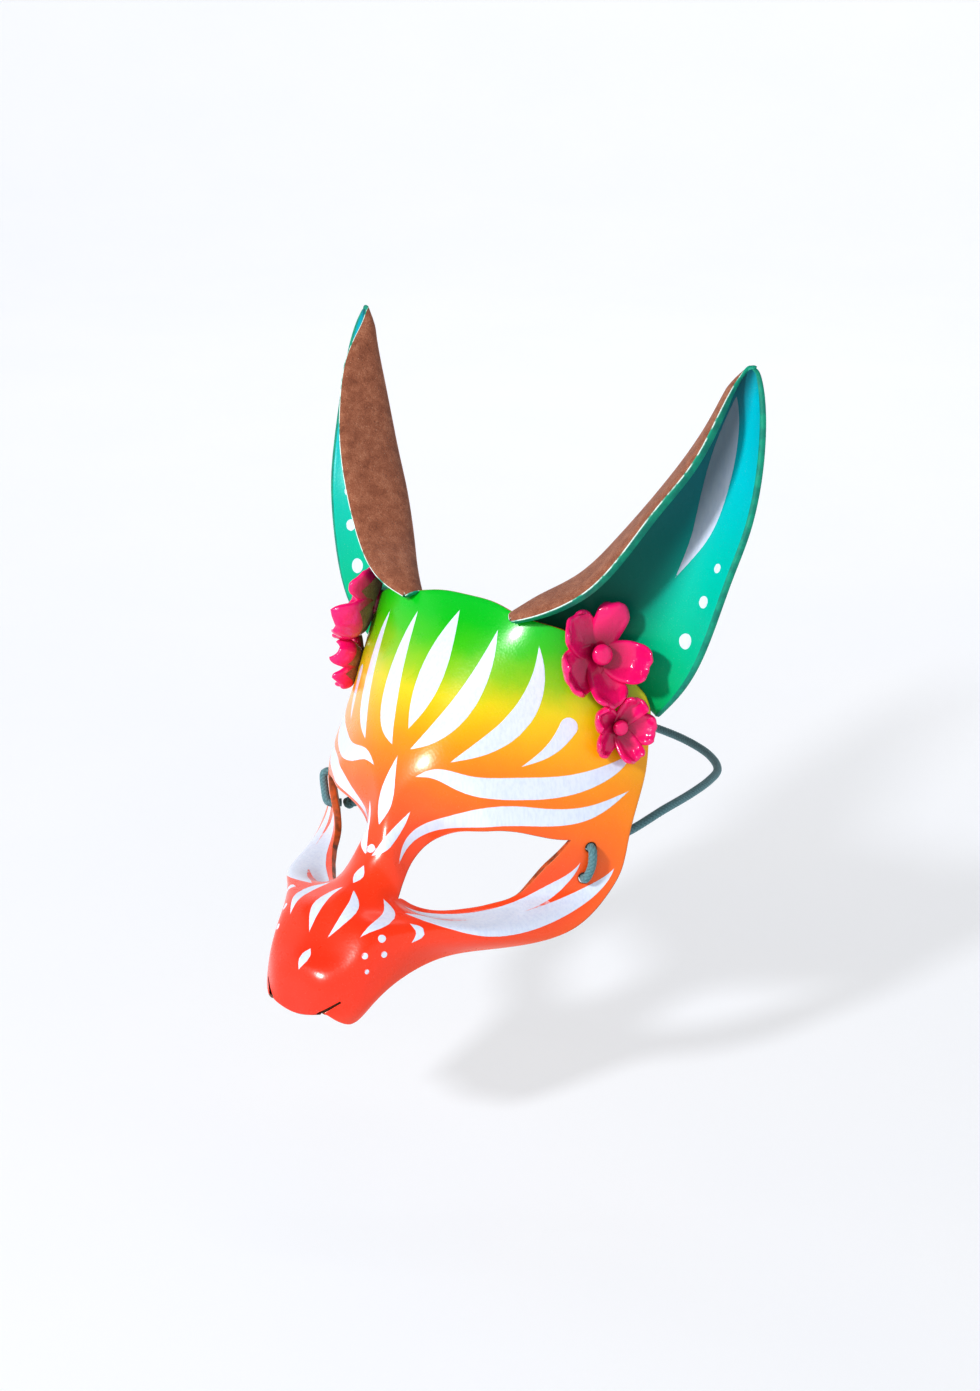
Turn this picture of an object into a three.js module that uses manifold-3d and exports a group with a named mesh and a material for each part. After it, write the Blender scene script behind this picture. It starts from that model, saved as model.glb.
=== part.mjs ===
// Fox mask in moulded leather, with curled ears, leather flowers and a cord behind the head.
// Millimetres. +Z is up, the face looks along -Y and the wearer's left is +X.
// The origin is the point of the inner face between the brows, where the mask rests on the head.
import * as THREE from "three";
import { mergeVertices } from "three/addons/utils/BufferGeometryUtils.js";
import Module from "manifold-3d";

const wasm = await Module();
wasm.setup();

// Main sizes
const HALF_WIDTH = 78;
const FACE_DEPTH = 140;
const FACE_HEIGHT = 147;
const LEATHER = 3;
const LIP_THINNING = { from: 0.8, to: 0.55 };
const EAR_LENGTH = 125;
const EAR_LEATHER = 2.8;
const PETAL_LEATHER = 2.4;
const LARGE_FLOWER = 42;
const SMALL_FLOWER = 29.4;
const LARGE_BUTTON = 8.6;
const SMALL_BUTTON = 6.4;
const CORD = 3.5;
const CORD_HOLE = 4.3;
const CLEARANCE = 0.35;

// How finely the leather is divided
const FACE_STEPS = { across: 30, down: 32 };
const EAR_STEPS = { across: 10, along: 15 };
const PETAL_STEPS = { across: 4, along: 3 };
const STITCH_STEPS = 20;
const LOOP_STEPS = 48;

// Sections of the face from the top edge to the lip, for one half of the face.
// Each column holds shares of half the width, the depth and the height, from the point between the brows.
const FACE_ROWS = [
  { at: "crown", ridge: [0, 0.379, 0.463], crest: [0.192, 0.375, 0.459], flank: [0.385, 0.364, 0.439],
    cheek: [0.59, 0.407, 0.412], side: [0.782, 0.486, 0.327], rim: [0.936, 0.571, 0.204] },
  { at: "forehead", ridge: [0, 0.262, 0.347], crest: [0.192, 0.271, 0.34], flank: [0.41, 0.304, 0.32],
    cheek: [0.628, 0.364, 0.272], side: [0.814, 0.443, 0.19], rim: [0.955, 0.543, 0.095] },
  { at: "upper brow", ridge: [0, 0.146, 0.204], crest: [0.192, 0.157, 0.197], flank: [0.41, 0.207, 0.177],
    cheek: [0.641, 0.3, 0.136], side: [0.833, 0.4, 0.082], rim: [0.974, 0.514, 0.014] },
  { at: "brow", ridge: [0, 0.046, 0.083], crest: [0.179, 0.057, 0.075], flank: [0.385, 0.114, 0.061],
    cheek: [0.615, 0.214, 0.027], side: [0.827, 0.329, -0.02], rim: [0.994, 0.457, -0.061] },
  { at: "upper lid", ridge: [0, -0.014, -0.031], crest: [0.154, 0, -0.041], flank: [0.359, 0.043, -0.065],
    cheek: [0.59, 0.143, -0.082], side: [0.821, 0.275, -0.112], rim: [1, 0.414, -0.139] },
  { at: "eye", ridge: [0, -0.057, -0.119], crest: [0.122, -0.043, -0.129], flank: [0.244, 0.032, -0.17],
    cheek: [0.538, 0.121, -0.19], side: [0.808, 0.271, -0.204], rim: [0.994, 0.386, -0.224] },
  { at: "lower lid", ridge: [0, -0.107, -0.184], crest: [0.128, -0.093, -0.211], flank: [0.282, -0.054, -0.289],
    cheek: [0.5, 0.068, -0.303], side: [0.744, 0.221, -0.286], rim: [0.955, 0.339, -0.299] },
  { at: "cheek", ridge: [0, -0.157, -0.224], crest: [0.141, -0.15, -0.245], flank: [0.333, -0.111, -0.284],
    cheek: [0.551, -0.054, -0.303], side: [0.737, 0.061, -0.33], rim: [0.878, 0.207, -0.374] },
  { at: "jaw", ridge: [0, -0.218, -0.247], crest: [0.154, -0.207, -0.265], flank: [0.34, -0.179, -0.284],
    cheek: [0.513, -0.121, -0.313], side: [0.622, -0.036, -0.361], rim: [0.667, 0.043, -0.395] },
  { at: "muzzle", ridge: [0, -0.286, -0.298], crest: [0.167, -0.275, -0.289], flank: [0.321, -0.243, -0.301],
    cheek: [0.417, -0.193, -0.34], side: [0.455, -0.129, -0.381], rim: [0.462, -0.096, -0.408] },
  { at: "whisker pad", ridge: [0, -0.354, -0.354], crest: [0.167, -0.339, -0.352], flank: [0.295, -0.314, -0.361],
    cheek: [0.353, -0.271, -0.398], side: [0.365, -0.261, -0.429], rim: [0.359, -0.257, -0.456] },
  { at: "nose", ridge: [0, -0.407, -0.401], crest: [0.154, -0.4, -0.412], flank: [0.256, -0.371, -0.439],
    cheek: [0.288, -0.357, -0.473], side: [0.295, -0.343, -0.503], rim: [0.282, -0.329, -0.527] },
  { at: "lip", ridge: [0, -0.429, -0.514], crest: [0.09, -0.429, -0.507], flank: [0.154, -0.425, -0.497],
    cheek: [0.179, -0.421, -0.492], side: [0.205, -0.404, -0.507], rim: [0.237, -0.375, -0.537] },
];

// The eye opening between its corners: shares across half the face, and down it for each lid
const EYE_ROWS = [
  { across: 0.296, upper: 0.526, lower: 0.526 },
  { across: 0.3, upper: 0.486, lower: 0.52 },
  { across: 0.322, upper: 0.452, lower: 0.512 },
  { across: 0.362, upper: 0.416, lower: 0.507 },
  { across: 0.405, upper: 0.389, lower: 0.503 },
  { across: 0.456, upper: 0.364, lower: 0.501 },
  { across: 0.544, upper: 0.346, lower: 0.498 },
  { across: 0.621, upper: 0.343, lower: 0.495 },
  { across: 0.692, upper: 0.348, lower: 0.482 },
  { across: 0.728, upper: 0.351, lower: 0.424 },
  { across: 0.762, upper: 0.352, lower: 0.385 },
  { across: 0.793, upper: 0.351, lower: 0.351 },
];

// Where the cord passes through the face, and the notch from the edge up between the nose and the lip lobe
const CORD_HOLES = { above: [0.862, 0.367], below: [0.869, 0.456] };
const NOTCH = { at: [0.45, 1], width: 1.1, length: 9 };

// Sections of the left ear from root to tip.
// Each column holds shares of the ear length from the ear root, for the outer leather face.
// The ear root is at shares across and down the face, and at a height over its leather.
const EAR_ROOT = { seat: [0.706, 0.031], height: -7.45 };
const EAR_ROWS = [
  { at: "root", medial: [-0.184, -0.16, 0.148], fold: [-0.181, -0.055, 0.126], lateral: [0.188, 0.16, -0.184] },
  { at: "low", medial: [-0.064, -0.156, 0.196], fold: [-0.121, -0.008, 0.207], lateral: [0.286, 0.149, -0.071] },
  { at: "flare", medial: [0.064, -0.092, 0.28], fold: [-0.038, 0.077, 0.281], lateral: [0.361, 0.16, 0.082] },
  { at: "belly", medial: [0.164, -0.032, 0.416], fold: [0.05, 0.151, 0.404], lateral: [0.42, 0.195, 0.3] },
  { at: "middle", medial: [0.24, 0.028, 0.552], fold: [0.13, 0.203, 0.522], lateral: [0.452, 0.246, 0.46] },
  { at: "narrow", medial: [0.308, 0.112, 0.68], fold: [0.224, 0.262, 0.685], lateral: [0.46, 0.293, 0.626] },
  { at: "upper", medial: [0.344, 0.192, 0.812], fold: [0.292, 0.3, 0.821], lateral: [0.449, 0.324, 0.785] },
  { at: "high", medial: [0.352, 0.276, 0.904], fold: [0.33, 0.323, 0.907], lateral: [0.426, 0.341, 0.888] },
  { at: "tip", medial: [0.368, 0.336, 0.968], fold: [0.372, 0.348, 0.968], lateral: [0.396, 0.354, 0.964] },
];
// The back of the ear bulges out between fold and lateral edge by this share of its depth
const EAR_BULGE = 0.3;
const EAR_TIP_LEATHER = 0.6;

// Flowers of the left side: place of the hub as shares across and down the face, its height over the leather,
// the direction that it faces, and the diameters over the petals and of the button
const FLOWERS = [
  { name: "large", seat: [0.739, 0.007], height: 0.86, facing: [0.82, -0.5, 0.27], across: LARGE_FLOWER,
    button: LARGE_BUTTON },
  { name: "small", seat: [0.844, 0.097], height: 0.41, facing: [0.86, -0.48, 0.17], across: SMALL_FLOWER,
    button: SMALL_BUTTON },
];
// The five petals: turn in degrees on each flower, length and width as shares of the flower,
// lift and cup as shares of the petal's length and half width
const PETALS = [
  { large: 341, small: 349, length: 0.49, width: 0.35, lift: 0.34, cup: 0.42 },
  { large: 67, small: 48, length: 0.5, width: 0.33, lift: 0.42, cup: 0.46 },
  { large: 135, small: 148, length: 0.5, width: 0.38, lift: 0.28, cup: 0.4 },
  { large: 206, small: 216, length: 0.5, width: 0.38, lift: 0.34, cup: 0.56 },
  { large: 276, small: 288, length: 0.46, width: 0.37, lift: 0.3, cup: 0.5 },
];
const HUB = { radius: 0.13, post: 5.5 };
// The petals climb towards the button's rim by this share of its radius
const BUTTON_RISE = 0.16;

// The cord behind the head, from where it leaves the side of the mask to the middle of the nape
const NAPE = [
  { out: 77.5, back: 84, up: -17.4 },
  { out: 77.5, back: 104, up: -17 },
  { out: 75, back: 122, up: -17.5 },
  { out: 69, back: 138, up: -19 },
  { out: 56, back: 152, up: -20 },
  { out: 38, back: 162, up: -20.5 },
  { out: 19, back: 168, up: -21 },
  { out: 0, back: 170, up: -21 },
];

const COLOURS = {
  leather: 0xd8602c,
  ear: 0x10b8a8,
  petal: 0xe0287a,
  button: 0xf04a96,
  cord: 0x6f9aa2,
};

const vec = (list) => new THREE.Vector3(...list);

// Second derivatives of the natural cubic spline through evenly spaced values
function bends(values) {
  const n = values.length;
  const result = new Array(n).fill(0);
  const scale = new Array(n).fill(0);
  for (let i = 1; i < n - 1; i++) {
    const pull = 6 * (values[i - 1] - 2 * values[i] + values[i + 1]);
    const divisor = 4 - scale[i - 1];
    scale[i] = 1 / divisor;
    result[i] = (pull - result[i - 1]) / divisor;
  }
  for (let i = n - 2; i > 0; i--) {
    result[i] -= scale[i] * result[i + 1];
  }
  return result;
}

function splineAt(values, curve, t) {
  const i = Math.min(Math.max(Math.floor(t), 0), values.length - 2);
  const f = t - i;
  const g = 1 - f;
  const bent = ((g ** 3 - g) * curve[i] + (f ** 3 - f) * curve[i + 1]) / 6;
  return g * values[i] + f * values[i + 1] + bent;
}

// A smooth surface through a net of points: net[row][column] is a Vector3, u runs along the columns, v down the rows
function smoothNet(net) {
  const axes = ["x", "y", "z"];
  const columns = net[0].map((_, c) =>
    axes.map((axis) => {
      const values = net.map((row) => row[c][axis]);
      return { values, curve: bends(values) };
    }),
  );
  const rowCache = new Map();
  const rowAt = (v) => {
    if (!rowCache.has(v)) {
      const t = v * (net.length - 1);
      const row = axes.map((_, a) => {
        const values = columns.map((column) => splineAt(column[a].values, column[a].curve, t));
        return { values, curve: bends(values) };
      });
      rowCache.set(v, row);
    }
    return rowCache.get(v);
  };
  return (u, v) => {
    const t = u * (net[0].length - 1);
    return vec(rowAt(v).map((axis) => splineAt(axis.values, axis.curve, t)));
  };
}

// A point of the surface moved out of it along its normal
function lifted(surface, u, v, height) {
  const step = 1e-3;
  const du = surface(u + step, v).sub(surface(u - step, v));
  const dv = surface(u, v + step).sub(surface(u, v - step));
  const normal = dv.cross(du).normalize();
  return surface(u, v).addScaledVector(normal, height);
}

const faceNet = FACE_ROWS.map((row) => {
  const half = [row.ridge, row.crest, row.flank, row.cheek, row.side, row.rim].map(
    ([out, back, up]) => new THREE.Vector3(out * HALF_WIDTH, back * FACE_DEPTH, up * FACE_HEIGHT),
  );
  const mirrored = half.slice(1).map((p) => new THREE.Vector3(-p.x, p.y, p.z));
  return [...mirrored.reverse(), ...half];
});
const faceSheet = smoothNet(faceNet);
// across runs from -1 at the wearer's right to 1 at the left, down from 0 at the top edge to 1 at the lip
const facePoint = (across, down, height = 0) => lifted(faceSheet, (across + 1) / 2, down, height);

const earRoot = facePoint(...EAR_ROOT.seat, EAR_ROOT.height);
const earNet = EAR_ROWS.map((row) => {
  const [medial, fold, lateral] = [row.medial, row.fold, row.lateral].map((share) =>
    vec(share).multiplyScalar(EAR_LENGTH).add(earRoot),
  );
  const middle = fold.clone().add(lateral).multiplyScalar(0.5);
  const back = middle.clone().add(middle.clone().sub(medial).multiplyScalar(EAR_BULGE));
  return [medial, fold, back, lateral];
});
const earSheet = smoothNet(earNet);
const earPoint = (across, along, height = 0) => lifted(earSheet, across, along, height);

// A closed sheet of leather between two faces given as functions of u and v, both from 0 to 1
function slab(steps, outer, inner) {
  const [nu, nv] = steps;
  const points = [];
  const faces = [];
  const side = (nu + 1) * (nv + 1);
  for (const face of [outer, inner]) {
    for (let j = 0; j <= nv; j++) {
      for (let i = 0; i <= nu; i++) {
        points.push(...face(i / nu, j / nv).toArray());
      }
    }
  }
  const quad = (a, b, c, d) => faces.push(a, b, c, a, c, d);
  const id = (i, j, layer) => layer * side + j * (nu + 1) + i;
  for (let j = 0; j < nv; j++) {
    for (let i = 0; i < nu; i++) {
      quad(id(i, j, 0), id(i, j + 1, 0), id(i + 1, j + 1, 0), id(i + 1, j, 0));
      quad(id(i, j, 1), id(i + 1, j, 1), id(i + 1, j + 1, 1), id(i, j + 1, 1));
    }
  }
  for (let i = 0; i < nu; i++) {
    quad(id(i, 0, 0), id(i + 1, 0, 0), id(i + 1, 0, 1), id(i, 0, 1));
    quad(id(i, nv, 0), id(i, nv, 1), id(i + 1, nv, 1), id(i + 1, nv, 0));
  }
  for (let j = 0; j < nv; j++) {
    quad(id(0, j, 0), id(0, j, 1), id(0, j + 1, 1), id(0, j + 1, 0));
    quad(id(nu, j, 0), id(nu, j + 1, 0), id(nu, j + 1, 1), id(nu, j, 1));
  }
  return meshOf(points, faces);
}

function meshOf(points, faces) {
  const geometry = new THREE.BufferGeometry();
  geometry.setAttribute("position", new THREE.Float32BufferAttribute(points, 3));
  geometry.setIndex(faces);
  return geometry;
}

// A closed round tube along a smooth line through a list of points
function tube(path, diameter, steps, sides = 8) {
  const section = new THREE.Shape();
  for (let i = 0; i < sides; i++) {
    const angle = (2 * Math.PI * i) / sides;
    const x = (diameter / 2) * Math.cos(angle);
    const y = (diameter / 2) * Math.sin(angle);
    if (i === 0) {
      section.moveTo(x, y);
    } else {
      section.lineTo(x, y);
    }
  }
  section.closePath();
  const line = new THREE.CatmullRomCurve3(path, false, "centripetal");
  return new THREE.ExtrudeGeometry(section, { steps, extrudePath: line, curveSegments: 1 });
}

// Conversion between three.js geometry and manifold solids
function solidOf(geometry) {
  const bare = geometry.clone();
  bare.deleteAttribute("normal");
  bare.deleteAttribute("uv");
  const merged = mergeVertices(bare, 1e-4);
  const mesh = new wasm.Mesh({
    numProp: 3,
    vertProperties: new Float32Array(merged.attributes.position.array),
    triVerts: new Uint32Array(merged.index.array),
  });
  return new wasm.Manifold(mesh);
}

function geometryOf(solid) {
  const mesh = solid.getMesh();
  const geometry = meshOf(Array.from(mesh.vertProperties), Array.from(mesh.triVerts));
  geometry.computeVertexNormals();
  return geometry;
}

function largest(solid) {
  return solid.decompose().sort((a, b) => b.volume() - a.volume())[0];
}

// The leather is drawn thinner where it is folded tightly round the nose and the lip
function faceLeather(down) {
  const share = Math.min(Math.max((down - LIP_THINNING.from) / (1 - LIP_THINNING.from), 0), 1);
  return LEATHER * (1 - (1 - LIP_THINNING.to) * share * share * (3 - 2 * share));
}

// The leather of the face, or the room that it takes with a clearance all round
function faceSolid(grow = 0) {
  const edge = grow / HALF_WIDTH;
  const outer = (s, t) => facePoint((2 * s - 1) * (1 + edge), t * (1 + 2 * edge) - edge, grow);
  const inner = (s, t) => facePoint((2 * s - 1) * (1 + edge), t * (1 + 2 * edge) - edge, -faceLeather(t) - grow);
  return solidOf(slab([FACE_STEPS.across, FACE_STEPS.down], outer, inner));
}

const earLeather = (along) => EAR_LEATHER * (1 - (1 - EAR_TIP_LEATHER) * along ** 4);

function earSolid(grow = 0) {
  const edge = grow / EAR_LENGTH;
  const spread = (value) => value * (1 + 2 * edge) - edge;
  const outer = (s, t) => earPoint(spread(s), spread(t), grow);
  const inner = (s, t) => earPoint(spread(s), spread(t), -earLeather(t) - grow);
  return solidOf(slab([EAR_STEPS.across, EAR_STEPS.along], outer, inner));
}

// A plug through the leather whose outline is a loop of [across, down] pairs
function plugSolid(loop, side, above = 4, below = LEATHER + 4) {
  const centre = loop.reduce(([a, b], [u, v]) => [a + u / loop.length, b + v / loop.length], [0, 0]);
  const rings = [1, 0.6, 0.2];
  const points = [];
  const faces = [];
  const n = loop.length;
  for (const height of [above, -below]) {
    for (const share of rings) {
      for (const [u, v] of loop) {
        const across = centre[0] + (u - centre[0]) * share;
        const down = centre[1] + (v - centre[1]) * share;
        const p = facePoint(across, down, height);
        points.push(side * p.x, p.y, p.z);
      }
    }
    const hub = facePoint(...centre, height);
    points.push(side * hub.x, hub.y, hub.z);
  }
  const layer = rings.length * n + 1;
  const add = (a, b, c) => (side > 0 ? faces.push(a, c, b) : faces.push(a, b, c));
  for (let i = 0; i < n; i++) {
    const j = (i + 1) % n;
    for (let ring = 0; ring < rings.length - 1; ring++) {
      const a = ring * n;
      const b = a + n;
      add(a + i, a + j, b + j);
      add(a + i, b + j, b + i);
      add(layer + a + i, layer + b + j, layer + a + j);
      add(layer + a + i, layer + b + i, layer + b + j);
    }
    const core = (rings.length - 1) * n;
    add(core + i, core + j, rings.length * n);
    add(layer + core + i, layer + rings.length * n, layer + core + j);
    add(i, layer + i, layer + j);
    add(i, layer + j, j);
  }
  return solidOf(meshOf(points, faces));
}

const eyeLoop = [
  ...EYE_ROWS.map((row) => [row.across, row.upper]),
  ...EYE_ROWS.slice(1, -1).reverse().map((row) => [row.across, row.lower]),
];

// A round hole through the face at a pair of shares
function holeSolid([across, down], side, diameter) {
  const ends = [4, -LEATHER - 4].map((height) => facePoint(across, down, height));
  const path = ends.map((p) => new THREE.Vector3(side * p.x, p.y, p.z));
  return solidOf(tube(path, diameter, 1, 12));
}

// The cut between nose and lip lobe: a thin block, half of it in the leather and half past the edge
function notchSolid(side) {
  const [across, down] = NOTCH.at;
  const here = facePoint(across, down);
  const outward = facePoint(across, down, 1).sub(here).normalize();
  const along = facePoint(across + 0.02, down - 0.03).sub(here).normalize();
  const over = outward.clone().cross(along).normalize();
  const block = new THREE.BoxGeometry(NOTCH.length, NOTCH.width, 2.6 * LEATHER);
  const turn = new THREE.Matrix4().makeBasis(along, over, outward.clone());
  block.applyMatrix4(turn.setPosition(here.addScaledVector(outward, -LEATHER / 2)));
  if (side < 0) {
    mirror(block);
  }
  return solidOf(block);
}

// Mirrors a geometry from the wearer's left to the right, keeping its faces outward
function mirror(geometry) {
  const flat = geometry.index ? geometry : mergeVertices(geometry);
  flat.scale(-1, 1, 1);
  const index = flat.index.array;
  for (let i = 0; i < index.length; i += 3) {
    [index[i + 1], index[i + 2]] = [index[i + 2], index[i + 1]];
  }
  return flat;
}

// Built on the left, handed over for either side
function sided(solid, side) {
  return side > 0 ? solid : solid.mirror([1, 0, 0]);
}

let face = faceSolid();
for (const side of [1, -1]) {
  face = face.subtract(plugSolid(eyeLoop, side));
  face = face.subtract(holeSolid(CORD_HOLES.above, side, CORD_HOLE));
  face = face.subtract(holeSolid(CORD_HOLES.below, side, CORD_HOLE));
  face = face.subtract(notchSolid(side));
}
face = largest(face);

const faceRoom = faceSolid(CLEARANCE);
const earLeft = largest(earSolid().subtract(faceRoom));
const earRoom = earSolid(CLEARANCE);

// One petal on its hub: z is the direction that the flower faces
function petalSolid(petal, turn, across) {
  const length = petal.length * across;
  const half = (petal.width * across) / 2;
  const sheet = (s, t, height) => {
    const spread = 2 * s - 1;
    const width = half * (0.42 + 0.58 * Math.sin(Math.PI * Math.min(0.62 * t + 0.1, 0.5)));
    const round = 1 - 0.16 * spread * spread * t;
    const out = length * (0.06 + 0.94 * t) * round;
    const rise = length * petal.lift * t ** 1.6 + width * petal.cup * spread * spread * (0.3 + 0.7 * t);
    return new THREE.Vector3(out, width * spread, rise + height);
  };
  const top = (s, t) => sheet(s, t, PETAL_LEATHER / 2);
  const under = (s, t) => sheet(s, t, -PETAL_LEATHER / 2);
  const geometry = slab([PETAL_STEPS.across, PETAL_STEPS.along], top, under);
  geometry.rotateZ(THREE.MathUtils.degToRad(turn));
  return solidOf(geometry);
}

function flowerFrame(flower) {
  const facing = vec(flower.facing).normalize();
  const right = new THREE.Vector3(0, 0, 1).cross(facing).normalize();
  const up = facing.clone().cross(right);
  const centre = facePoint(...flower.seat, flower.height);
  return new THREE.Matrix4().makeBasis(right, up, facing).setPosition(centre);
}

function lathe(profile, segments = 16) {
  const geometry = new THREE.LatheGeometry(profile.map(([r, h]) => new THREE.Vector2(r, h)), segments);
  return geometry.rotateX(Math.PI / 2);
}

// Five petals joined by a hub, whose post reaches down to whatever the flower is glued to
function petalsSolid(flower) {
  const radius = HUB.radius * flower.across;
  const post = [[0, -HUB.post], [radius, -HUB.post], [radius, PETAL_LEATHER / 2], [0, PETAL_LEATHER / 2]];
  let joined = solidOf(lathe(post, 12));
  for (const petal of PETALS) {
    joined = joined.add(petalSolid(petal, petal[flower.name], flower.across));
  }
  const placed = solidOf(geometryOf(joined).applyMatrix4(flowerFrame(flower)));
  return largest(placed.subtract(faceRoom).subtract(earRoom));
}

function buttonSolid(flower) {
  const r = flower.button / 2;
  const base = PETAL_LEATHER / 2 + CLEARANCE + r * BUTTON_RISE;
  const dome = [[0, base], [r * 0.8, base], [r, base + r * 0.35], [r * 0.8, base + r * 0.7], [0, base + r * 0.85]];
  return solidOf(lathe(dome, 14).applyMatrix4(flowerFrame(flower)));
}

// The cord: a stitch outside between the two holes, a knot inside and the loop behind the head
function throughHole(hole, height) {
  return facePoint(...hole, height);
}

function stitchPath() {
  const lift = CORD / 2 + CLEARANCE;
  const { above, below } = CORD_HOLES;
  const middle = [(above[0] + below[0]) / 2, (above[1] + below[1]) / 2];
  const corners = [
    throughHole(above, -LEATHER - 1),
    throughHole(above, -LEATHER / 2),
    throughHole(above, lift * 0.45),
    facePoint(above[0] * 0.86 + middle[0] * 0.14, above[1] * 0.86 + middle[1] * 0.14, lift),
    facePoint(...middle, lift + 0.3),
    facePoint(below[0] * 0.86 + middle[0] * 0.14, below[1] * 0.86 + middle[1] * 0.14, lift),
    throughHole(below, lift * 0.45),
    throughHole(below, -LEATHER / 2),
    throughHole(below, -LEATHER - 1),
  ];
  return corners;
}

function loopPath() {
  const start = throughHole(CORD_HOLES.above, -LEATHER - 1 - CLEARANCE - CORD / 2);
  const inside = facePoint(0.93, 0.345, -LEATHER - CORD / 2 - 1);
  const edge = facePoint(0.99, 0.335, -LEATHER - CORD / 2 - 0.8);
  const left = [start, inside, edge, ...NAPE.map(({ out, back, up }) => new THREE.Vector3(out, back, up))];
  const right = left.slice(0, -1).reverse().map((p) => new THREE.Vector3(-p.x, p.y, p.z));
  return [...left, ...right];
}

function knotSolid() {
  const reach = LEATHER + 1 + CLEARANCE + CORD;
  const here = throughHole(CORD_HOLES.below, -reach);
  const ball = new THREE.SphereGeometry(CORD, 10, 6).scale(1, 1.15, 0.95);
  return solidOf(ball.translate(here.x, here.y, here.z));
}

// The point of the inner face that rests on the head becomes the origin
const seat = facePoint(0, 0.31, -LEATHER);
const mask = new THREE.Group();
mask.name = "fox_mask";

function addPiece(name, solid, colour, roughness = 0.5) {
  const geometry = geometryOf(solid).translate(-seat.x, -seat.y, -seat.z);
  const material = new THREE.MeshStandardMaterial({ color: colour, roughness });
  material.name = name + "_finish";
  const mesh = new THREE.Mesh(geometry, material);
  mesh.name = name;
  mask.add(mesh);
}

addPiece("mask_face", face, COLOURS.leather, 0.35);
for (const [sideName, side] of [["left", 1], ["right", -1]]) {
  addPiece(`ear_${sideName}`, sided(earLeft, side), COLOURS.ear, 0.4);
  for (const flower of FLOWERS) {
    addPiece(`flower_${sideName}_${flower.name}_petals`, sided(petalsSolid(flower), side), COLOURS.petal);
    addPiece(`flower_${sideName}_${flower.name}_button`, sided(buttonSolid(flower), side), COLOURS.button);
  }
  addPiece(`cord_stitch_${sideName}`, sided(solidOf(tube(stitchPath(), CORD, STITCH_STEPS)), side), COLOURS.cord, 0.8);
  addPiece(`cord_knot_${sideName}`, sided(knotSolid(), side), COLOURS.cord, 0.8);
}
addPiece("head_cord", solidOf(tube(loopPath(), CORD, LOOP_STEPS)), COLOURS.cord, 0.8);

export default mask;
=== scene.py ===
"""The looks of the fox mask: moulded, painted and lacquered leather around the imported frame."""
import logging
import math
from collections.abc import Callable, Sequence
from dataclasses import dataclass, field
from enum import Enum

import bpy
import numpy as np
from mathutils import Matrix, Vector
from mathutils.geometry import delaunay_2d_cdt
from mathutils.kdtree import KDTree


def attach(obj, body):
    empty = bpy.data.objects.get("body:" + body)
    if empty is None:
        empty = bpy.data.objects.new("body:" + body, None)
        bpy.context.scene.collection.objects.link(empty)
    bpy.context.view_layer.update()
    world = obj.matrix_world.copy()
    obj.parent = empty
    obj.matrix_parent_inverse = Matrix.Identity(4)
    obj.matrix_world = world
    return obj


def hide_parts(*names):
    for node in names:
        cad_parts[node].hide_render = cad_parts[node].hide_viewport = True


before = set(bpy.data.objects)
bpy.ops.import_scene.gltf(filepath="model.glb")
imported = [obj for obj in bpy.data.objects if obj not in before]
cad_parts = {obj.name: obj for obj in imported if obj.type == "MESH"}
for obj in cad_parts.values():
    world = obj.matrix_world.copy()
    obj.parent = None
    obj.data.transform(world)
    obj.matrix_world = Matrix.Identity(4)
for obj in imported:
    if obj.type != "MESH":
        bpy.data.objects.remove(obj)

Array = np.ndarray
Colour = tuple[float, float, float]
log = logging.getLogger("fox_mask")

# Sizes that the source of the solids has too, in millimetres; thinning and bulge are shares
HALF_WIDTH = 78.0
FACE_DEPTH = 140.0
FACE_HEIGHT = 147.0
LEATHER = 3.0
LIP_THINNING_FROM = 0.8
LIP_THINNING_TO = 0.55
EAR_LENGTH = 125.0
EAR_LEATHER = 2.8
EAR_THINNING_TO = 0.6
EAR_BULGE = 0.3
CORD = 3.5
CORD_HOLE = 4.3
CLEARANCE = 0.35
# One millimetre in the metres of the scene
MM = 0.001
# Sizes of the looks alone, in millimetres: the longest step along a stroke, the width under which it ends
# in a point, and how far from the old skin a face of a cut has to lie to be a new wall
STROKE_STEP = 0.8
POINTED_BELOW = 0.3
WALL_BEYOND = 0.7
# How long a sheet is across, for each unit of its places, and down
FACE_STRETCH = (110.0, 200.0)
EAR_STRETCH = (80.0, 130.0)
# Rings of a cut edge: degrees turned from the outer face, then shares of the way out above the inner face
EDGE_TURNS = (35, 65, 90)
ROUND_SHARES = (1.0, 0.6, 0.25)
BEVEL_SHARES = (1.0, 0.72, 0.36)
BEVEL_DROP = 0.7

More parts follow.
